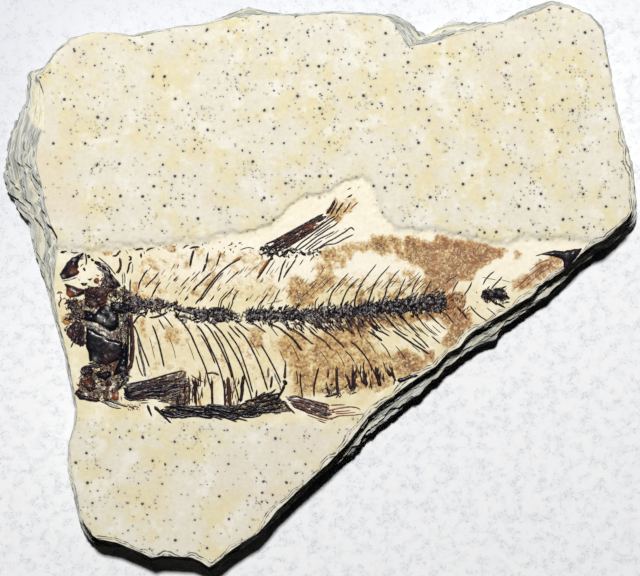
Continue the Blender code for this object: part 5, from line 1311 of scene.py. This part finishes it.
bone_piece("back_line_scraps", "brown_bone", [strands(""".45 .22:-357 71,-346 74,-340 73;
    .4 .26:-345 66,-345 56;.42 .18:-336 69,-328 74,-319 76;.4 .14:-331 61,-328 61;.4 .16:-193 67,-197 55,
    -202 40;.4 .1:-157 71,-150 74,-140 76,-130 74;.4 .16:-304 75,-302 77;.5 .1:-369 72,-366 71;.5 .1:-286 77,
    -278 79;.5 .1:-180 79,-169 84""", 285),
    crumbs_in(drawn("40 .06 .16 .4/.55/.3/-.4 .15:-395 74,-300 82,-200 88,-120 86,-120 64,-220 68,-390 62"),
              286)])

# The back fin: rays crowded together over a knobbly base, and the rods that carried it. The rays' ends are
# apart.
DORSAL_RAYS = drawn(""".25 .2:-109 82,-90 90,-70 101,-50 112,-30 123,-10 134,2 140;.3 .2:-80 86,-60 98,
    -30 117,-5 130,7 136;.3 .18:-94 84,-74 95,-46 111,-20 126,1 136;.35 .15:-72 80,-55 90,-40 99,-25 110;
    .35 .16:-71 73,-60 81,-45 90,-30 100,-10 113,10 128,25 137;.38 .15:-55 70,-40 85,-25 96,-15 104,5 118,
    26 133;.38 .15:-47 71,-32 81,-18 92,-6 100,10 111,22 118,31 126;.4 .14:-34 71,-20 82,-5 93,10 100,23 107;
    .4 .13:-24 73,-12 82,0 90;.38 .15:-18 70,-5 77,10 87,22 93,33 100,43 106,54 114,61 108;.4 .14:-7 73,7 81,
    25 84,42 93,59 101;.35 .3:7 140,13 147,19 157,24 167;.4 .15:15 140,22 150,29 163;.4 .2:25 139,29 147,
    34 154,40 162;.45 .15:39 142,46 150,51 158,54 163;.85 .14:53 149,60 156,68 163;.4 .2:47 171,57 177;
    .45 .13:47 186,55 190;.55 .06:66 187,71 193;.5 .1:-58 89,-36 104,-14 119;.5 .1:-16 98,2 110,16 120;
    .5 .1:6 129,16 139,22 146;.6 .08:4 92,20 101,32 110;.5 .1:-64 100,-46 110,-24 123;.6 .08:18 125,
    32 140""")
bone_piece("back_fin", "black_bone", [
    strands(DORSAL_RAYS, 291),
    strands(""".08 .2:-119 70,-110 76,-102 70,-94 79,-86 70,-78 77;.1 .2:-116 62,-106 68,-98 60,-90 66,
      -82 58;.1 .22:-79 69,-70 64,-64 72,-56 66,-50 69;.1 .3:-43 67,-36 64,-32 60;.1 .24:-28 71,-23 69;
      .1 .2:-20 64,-16 65;.1 .24:-9 67,-2 69;.15 .16:-106 81,-94 73,-86 80,-74 76,-62 78""", 292),
    crumbs_in(drawn("70 .1 .24 .05/.15/.3/-.3 .4:-119 56,-119 82,-80 84,-40 74,-2 73,-2 63,-40 59,-80 54"),
              293),
], ["dorsal_fin"])
FIN_SUPPORTS = {
    "fin_support_1": ("red_bone", drawn(""".45 .22:-94 60,-103 48,-115 30,-125 16;.9 .2:-102 54,-112 40,
      -122 26;.5 .1:-90 52,-98 40,-108 24""")),
    "fin_support_2": ("red_bone", drawn(".4 .17:-69 54,-76 40,-80 25,-84 10;.6 .1:-64 50,-70 36")),
    "fin_support_3": ("brown_bone", drawn(""".42 .15:-50 55,-60 40,-70 25,-75 17;.45 .12:-17 60,-24 50;
      .5 .1:-36 54,-44 42""")),
}
for node, (slot, courses) in FIN_SUPPORTS.items():
    bone_piece(node + "_bone", slot, [strands(courses, 295 + int(node[-1]))], [node])

# The breast fin: a thin dark plate of rays that are grown together, lighter between them.
bone_piece("breast_fin", "brown_bone", [
    relief("""-377 -192,-367 -183,-340 -178,-320 -179,-304 -182,-286 -186,-282 -196,-290 -204,-310 -206,
      -326 -208,-345 -212,-365 -215,-379 -206""", 0.2, 0.3, 301, """-374 -200 10 1,
          -310 -198 16 2,-330 -184 7 5,-360 -190 5 -3.5""", 0.8, 0.6),
    strands(""".3 .18:-371 -184,-350 -180,-330 -176,-310 -170,-290 -164,-264 -158;.25 .16:-368 -188,
      -330 -182,-300 -173,-278 -166;.25 .2:-370 -193,-330 -188,-294 -179,-262 -170;.12 .3:-374 -198,
      -330 -193,-300 -188,-275 -185;.1 .34:-346 -198,-330 -197,-310 -196,-290 -194;.12 .3:-334 -204,
      -310 -203,-292 -202;.05 .4:-378 -202,-372 -204;.2 .22:-378 -208,-365 -214,-345 -211,-330 -209,
      -306 -212;.3 .12:-355 -216,-330 -214;.3 .12:-348 -220,-330 -219;-.5 .12:-366 -200,-346 -202,-326 -206;
      .3 .14:-314 -216,-294 -219,-274 -224;.3 .14:-296 -209,-278 -210,-260 -214;.35 .12:-274 -170,-271 -190,
      -271 -216;.35 .12:-265 -164,-262 -186,-262 -220;.3 .14:-255 -168,-253 -190,-253 -224;.35 .12:-280 -178,
      -279 -200,-278 -222;.6 .14:-250 -166,-242 -172,-226 -180;.6 .12:-246 -182,-230 -188;.45 .2:-220 -164,
      -208 -162,-196 -167""", 302),
], ["pectoral_fin"])

# The hip bone and the belly fin behind it, whose rays spread out in strands.
bone_piece("hip_bone", "black_bone", [
    strands(""".15 .3/.22:-72 -184,-76 -195,-82 -205,-87 -215,-85 -230;-.4 .15:-92 -162,-88 -173,
      -82 -185,-79 -197;.55 .12/.35:-70 -138,-71 -158,-72 -174;.35 .17:-42 -160,-42 -180,-40 -195,-38 -210;
      .4 .12:-50 -157,-48 -170,-47 -185;.35 .19:-7 -152,-12 -170,-16 -190,-16 -208;.2 .3:-73 -180,
      -69 -182""", 311),
    relief("-76 -178,-71 -175,-66 -179,-67 -185,-73 -187", 0.6, 0.08, 312),
], ["pelvic_bone"])
bone_piece("belly_fin", "brown_bone", [
    strands(""".45 .26/.14:-66 -210,-50 -207,-35 -212,-10 -218,10 -223,12 -228;.5 .32/.16:-67 -212,
      -50 -216,-30 -220,-10 -223,12 -230;-.4 .24/.14:-62 -219,-40 -225,-20 -229,4 -234;.6 .24/.14:-59 -222,
      -40 -229,-20 -235,6 -241;.55 .24/.14:-57 -225,-40 -232,-20 -240,0 -246,20 -251;.66 .18/.1:15 -224,
      30 -223,44 -223;.68 .2/.1:10 -235,25 -231,50 -227,66 -229,73 -233;.7 .18/.1:8 -239,30 -236,54 -234;
      .66 .2/.1:5 -250,20 -248,33 -244,55 -243,80 -240;.5 .11:-10 -252,-2 -255,7 -258;.55 .1:-30 -242,
      -10 -249,10 -254;.74 .16/.08:24 -240,44 -239,64 -237""", 321),
], ["pelvic_fin"])

# The keeled scales of the belly: blades that overlap along the edge, and arms that reach up the flank.
SCUTES = {
    "belly_scutes_front": ("belly_scales_front", drawn(""".3 .21:-242 -172,-241 -200,-240 -225;
      .4 .13:-245 -176,-244 -200,-243 -222;.85 .26:-236 -208,-233 -220,-230 -228;.4 .26:-210 -175,-210 -200,
      -209 -228;.35 .22:-187 -175,-186 -200,-185 -228;.55 .39:-180 -170,-178 -195,-175 -228;
      .3 .34/.16:-333 -223,-329 -234,-324 -246;.2 .39/.16:-320 -226,-310 -236,-296 -250,-287 -259;
      .2 .44/.16:-308 -233,-298 -236,-290 -240,-287 -251;.2 .36/.13:-287 -242,-278 -245,-270 -248;
      .3 .6/.26:-280 -225,-272 -232,-263 -240;.15 .55/.16:-262 -228,-250 -232,-238 -242,-232 -247;
      -.5 .21:-240 -228,-232 -239,-226 -248;.15 .39/.16:-233 -240,-215 -243,-190 -252;.15 .36/.16:-220 -234,
      -205 -238,-185 -247,-162 -256;.15 .39/.16:-200 -238,-170 -246,-142 -254;.25 .39:-214 -232,-190 -233,
      -166 -236;.3 .34:-256 -226,-240 -230,-220 -232"""),
        drawn("""60 .07 .2 .2/.35/.5/-.5/.1 .3:-214 -225,-152 -226,-152 -242,-180 -246,-214 -242;
          70 .07 .2 .15/.3/.45/-.5 .3:-302 -226,-240 -224,-216 -230,-216 -242,-260 -240,-300 -244""")),
    "belly_scutes_rear": ("belly_scales_rear", drawn(""".3 .34:-150 -167,-152 -184,-153 -200,-156 -218;
      .35 .2:-125 -194,-126 -208,-127 -220;.3 .18:-127 -172,-125 -174;.3 .17:-134 -164,-132 -166;
      .35 .25:-96 -168,-97 -180,-99 -192;-.4 .23:-103 -152,-103 -172;.15 .36/.16:-157 -244,-135 -246,
      -116 -243;.15 .36/.16:-150 -239,-120 -236,-90 -236,-66 -235;.15 .44:-145 -228,-140 -226;.3 .2:-76 -218,
      -66 -227,-52 -240;.2 .34:-140 -232,-120 -230,-94 -230"""),
        drawn("""80 .07 .2 .2/.35/.5/-.5/.1/.3 .35:-150 -236,-150 -220,-126 -208,-104 -200,-86 -208,
          -86 -236""")),
}
for node, (name, courses, heaps) in SCUTES.items():
    seed = 330 + len(node)
    bone_piece(name, "black_bone", [strands(courses, seed),
                                    crumbs_in(heaps, seed + 5)], [node])

# Broken scales and fin rays along the belly, between the blades.
BELLY_ZONES = drawn("""20 3/6 .16/.32 -11 6 .1/.2/.05/.05/.3:-306 -225,-210 -224,-150 -222,-150 -244,
    -180 -250,-260 -246,-300 -246;30 1.6/4 .12/.24 22 9 .1/.25/.4/.05/.15:-150 -240,-150 -220,-126 -206,
    -104 -198,-84 -204,-78 -238;60 1/3.5 .05/.12 14 7 .2/.35/.48/.55/-.5/-.7:-374 -204,-364 -184,-290 -166,
    -258 -162,-258 -218,-330 -210;40 1/3 .05/.12 88 10 .35/.5/.6/.3:-276 -166,-196 -166,-224 -196,-234 -226,
    -276 -226;30 .8/2.4 .05/.12 88 10 .45/.6/.35:-188 -174,-166 -174,-150 -180,-150 -226,-188 -226;
    60 1/3 .06/.14 -18 10 .6/.7/.45/-.45/-.6:-64 -210,-35 -212,12 -223,18 -248,-10 -244,-50 -228;
    34 .8/2.4 .08/.16 92 14 .25/.4/.5:50 -150,140 -146,142 -176,115 -188,54 -196;
    26 .6/1.6 .05/.12 80 60 .3/.5/-.5:0 -182,66 -184,64 -202,20 -212,-2 -210;
    40 1/3.6 .06/.14 32 5 .45/.55/.65/.3:-106 80,-66 102,-20 128,6 139,16 132,-20 108,-50 86,-56 74""")
bone_piece("belly_splinters", "brown_bone", [strands(splinters(BELLY_ZONES, 346), 347)])

# The rods that carried the anal fin, the haemal spines that lie free of the column, and the last scrap of
# tail.
RODS = {
    "anal_support_1": ("brown_bone", drawn(""".35 .25/.34:27 -150,27 -170,28 -188,30 -202;.35 .25/.34:4 -208,
      15 -205,34 -200;.4 .18/.24:12 -156,10 -173;.4 .18/.24:7 -179,8 -186,11 -196,13 -205""")),
    "anal_support_2": ("brown_bone", drawn(""".3 .28/.4:58 -155,58 -170,60 -185,59 -196;.4 .24/.32:43 -164,
      49 -175,52 -188,54 -195""")),
    "anal_support_3": ("brown_bone", drawn(""".3 .31/.42:78 -156,80 -170,84 -188;.45 .14/.19:68 -157,73 -170,
      78 -184""")),
    "anal_support_4": ("brown_bone", drawn(""".3 .31/.42:101 -150,105 -170,109 -184,113 -186;
      .4 .3/.41:122 -154,127 -164,129 -170""")),
    "anal_support_5": ("black_bone", drawn(""".3 .2/.27:132 -150,133 -160,137 -173,140 -178;
      .15 .53/.25:142 -177,154 -175,166 -170,182 -167""")),
    "haemal_rod_1": ("brown_bone", drawn(".35 .2:133 -81,145 -89,160 -99,175 -109,190 -118,203 -127")),
    "haemal_rod_2": ("brown_bone", drawn(".35 .16:175 -88,189 -100,203 -115")),
    "haemal_rod_3": ("brown_bone", drawn(".38 .2/.28:85 -82,100 -91,114 -102")),
}
for number, (node, (slot, courses)) in enumerate(RODS.items()):
    bone_piece(node + "_bone", slot, [strands(courses, 350 + number)], [node])
bone_piece("tail_scrap", "brown_bone", [
    relief("""405 60,420 66,440 71,460 70,480 74,494 75,487 62,478 50,465 37,458 38,459 47,455 53,440 59,
      420 62""", 0.4, 0.22, 361,
           [(42.0, 6.3, 0.7, 0.5), (47.0, 5.4, 0.8, 0.12)], 0.5, 0.9),
    strands(""".3 .12:405 60,430 67,456 69;.35 .12:424 62,446 61,460 54;.5 .08:376 6,398 26,420 42;
      .55 .07:386 2,408 22,430 38;.55 .07:394 32,412 46,432 54;.5 .08:364 -2,374 4""",
            362),
], ["tail_fin"])


# The table: a pale sheet of laid paper, which isn't part of the object.
floor_mesh = bpy.data.meshes.new("table")
floor_corners = [(0.8 * x, 0.8 * y, -0.0003) for x, y in ((-1, -1), (1, -1), (1, 1), (-1, 1))]
floor_mesh.from_pydata(floor_corners, [], [(0, 1, 2, 3)])
floor = bpy.data.objects.new("table", floor_mesh)
bpy.context.scene.collection.objects.link(floor)
paper, tree = new_material("pale_laid_paper")
spot = add(tree, "ShaderNodeTexCoord", give="Object")
blotch = add(tree, "ShaderNodeTexNoise", spot, PER_MM / 2.2, 5.0, 0.7)
colour = add(tree, "ShaderNodeMix", add(tree, "ShaderNodeMapRange", blotch, 0.36, 0.58, **EASED), "#EFF0F2",
    "#F8F8F9", data_type="RGBA")
scribble = add(tree, "ShaderNodeTexNoise", spot, 3.0, PER_MM / 1.1, 3.0, 0.6, noise_dimensions="4D")
off_line = add(tree, "ShaderNodeMath", add(tree, "ShaderNodeMath", scribble, 0.5, operation="SUBTRACT"),
    operation="ABSOLUTE")
parts = add(tree, "ShaderNodeSeparateXYZ", spot, give="node")
# Painted shade: the paper is made greyer towards the top left, where the lamp is nearest, to even out its
# light on it.
far = add(tree, "ShaderNodeMath", parts.outputs["Y"], add(tree, "ShaderNodeMath", parts.outputs["X"], 0.4,
    operation="MULTIPLY"), operation="SUBTRACT")
colour = add(tree, "ShaderNodeMix", add(tree, "ShaderNodeMapRange", far, 0.0, 80.0 * MM, 0.0, 0.8, **EASED),
    colour, "#DDDFE4", data_type="RGBA")
inked = add(tree, "ShaderNodeMath", add(tree, "ShaderNodeMapRange", off_line, 0.022, 0.0, **EASED),
    add(tree, "ShaderNodeMapRange", blotch, 0.54, 0.42, 0.0, 0.8, **EASED), operation="MULTIPLY")
colour = add(tree, "ShaderNodeMix", inked, colour, "#BDC0C9", data_type="RGBA")
surface = add(tree, "ShaderNodeBsdfPrincipled", {"Base Color": colour, "Roughness": 0.9,
    "Specular IOR Level": 0.1})
add(tree, "ShaderNodeOutputMaterial", surface, give="node")
floor_mesh.materials.append(paper)

# The light: one small lamp close over the lens on the side of the fish's back, and a weak even fill.
camera_data = bpy.data.cameras.new("overhead")
camera_data.lens = 100.0
camera_data.sensor_width = 36.0
camera_data.clip_start = 0.01
camera_data.clip_end = 5.0
camera = bpy.data.objects.new("overhead", camera_data)
camera.location = ((EYE_AXIS[0] - SLAB_MIDDLE[0]) * MM, (EYE_AXIS[1] - SLAB_MIDDLE[1]) * MM, EYE_HEIGHT * MM)
bpy.context.scene.collection.objects.link(camera)
bpy.context.scene.camera = camera

LAMP_PLACE = Vector((-0.02, 0.205, 0.56))
lamp_data = bpy.data.lights.new("lamp_over_lens", "AREA")
lamp_data.shape = "DISK"
lamp_data.size = 0.045
lamp_data.energy = 3.72
lamp = bpy.data.objects.new("lamp_over_lens", lamp_data)
lamp.location = LAMP_PLACE
lamp.rotation_euler = (-LAMP_PLACE).to_track_quat("-Z", "Y").to_euler()
bpy.context.scene.collection.objects.link(lamp)

world = bpy.data.worlds.new("studio")
world.use_nodes = True
world.node_tree.nodes["Background"].inputs["Color"].default_value = (0.95, 0.97, 1.0, 1.0)
world.node_tree.nodes["Background"].inputs["Strength"].default_value = 0.002
bpy.context.scene.world = world
bpy.context.scene.view_settings.view_transform = "Standard"
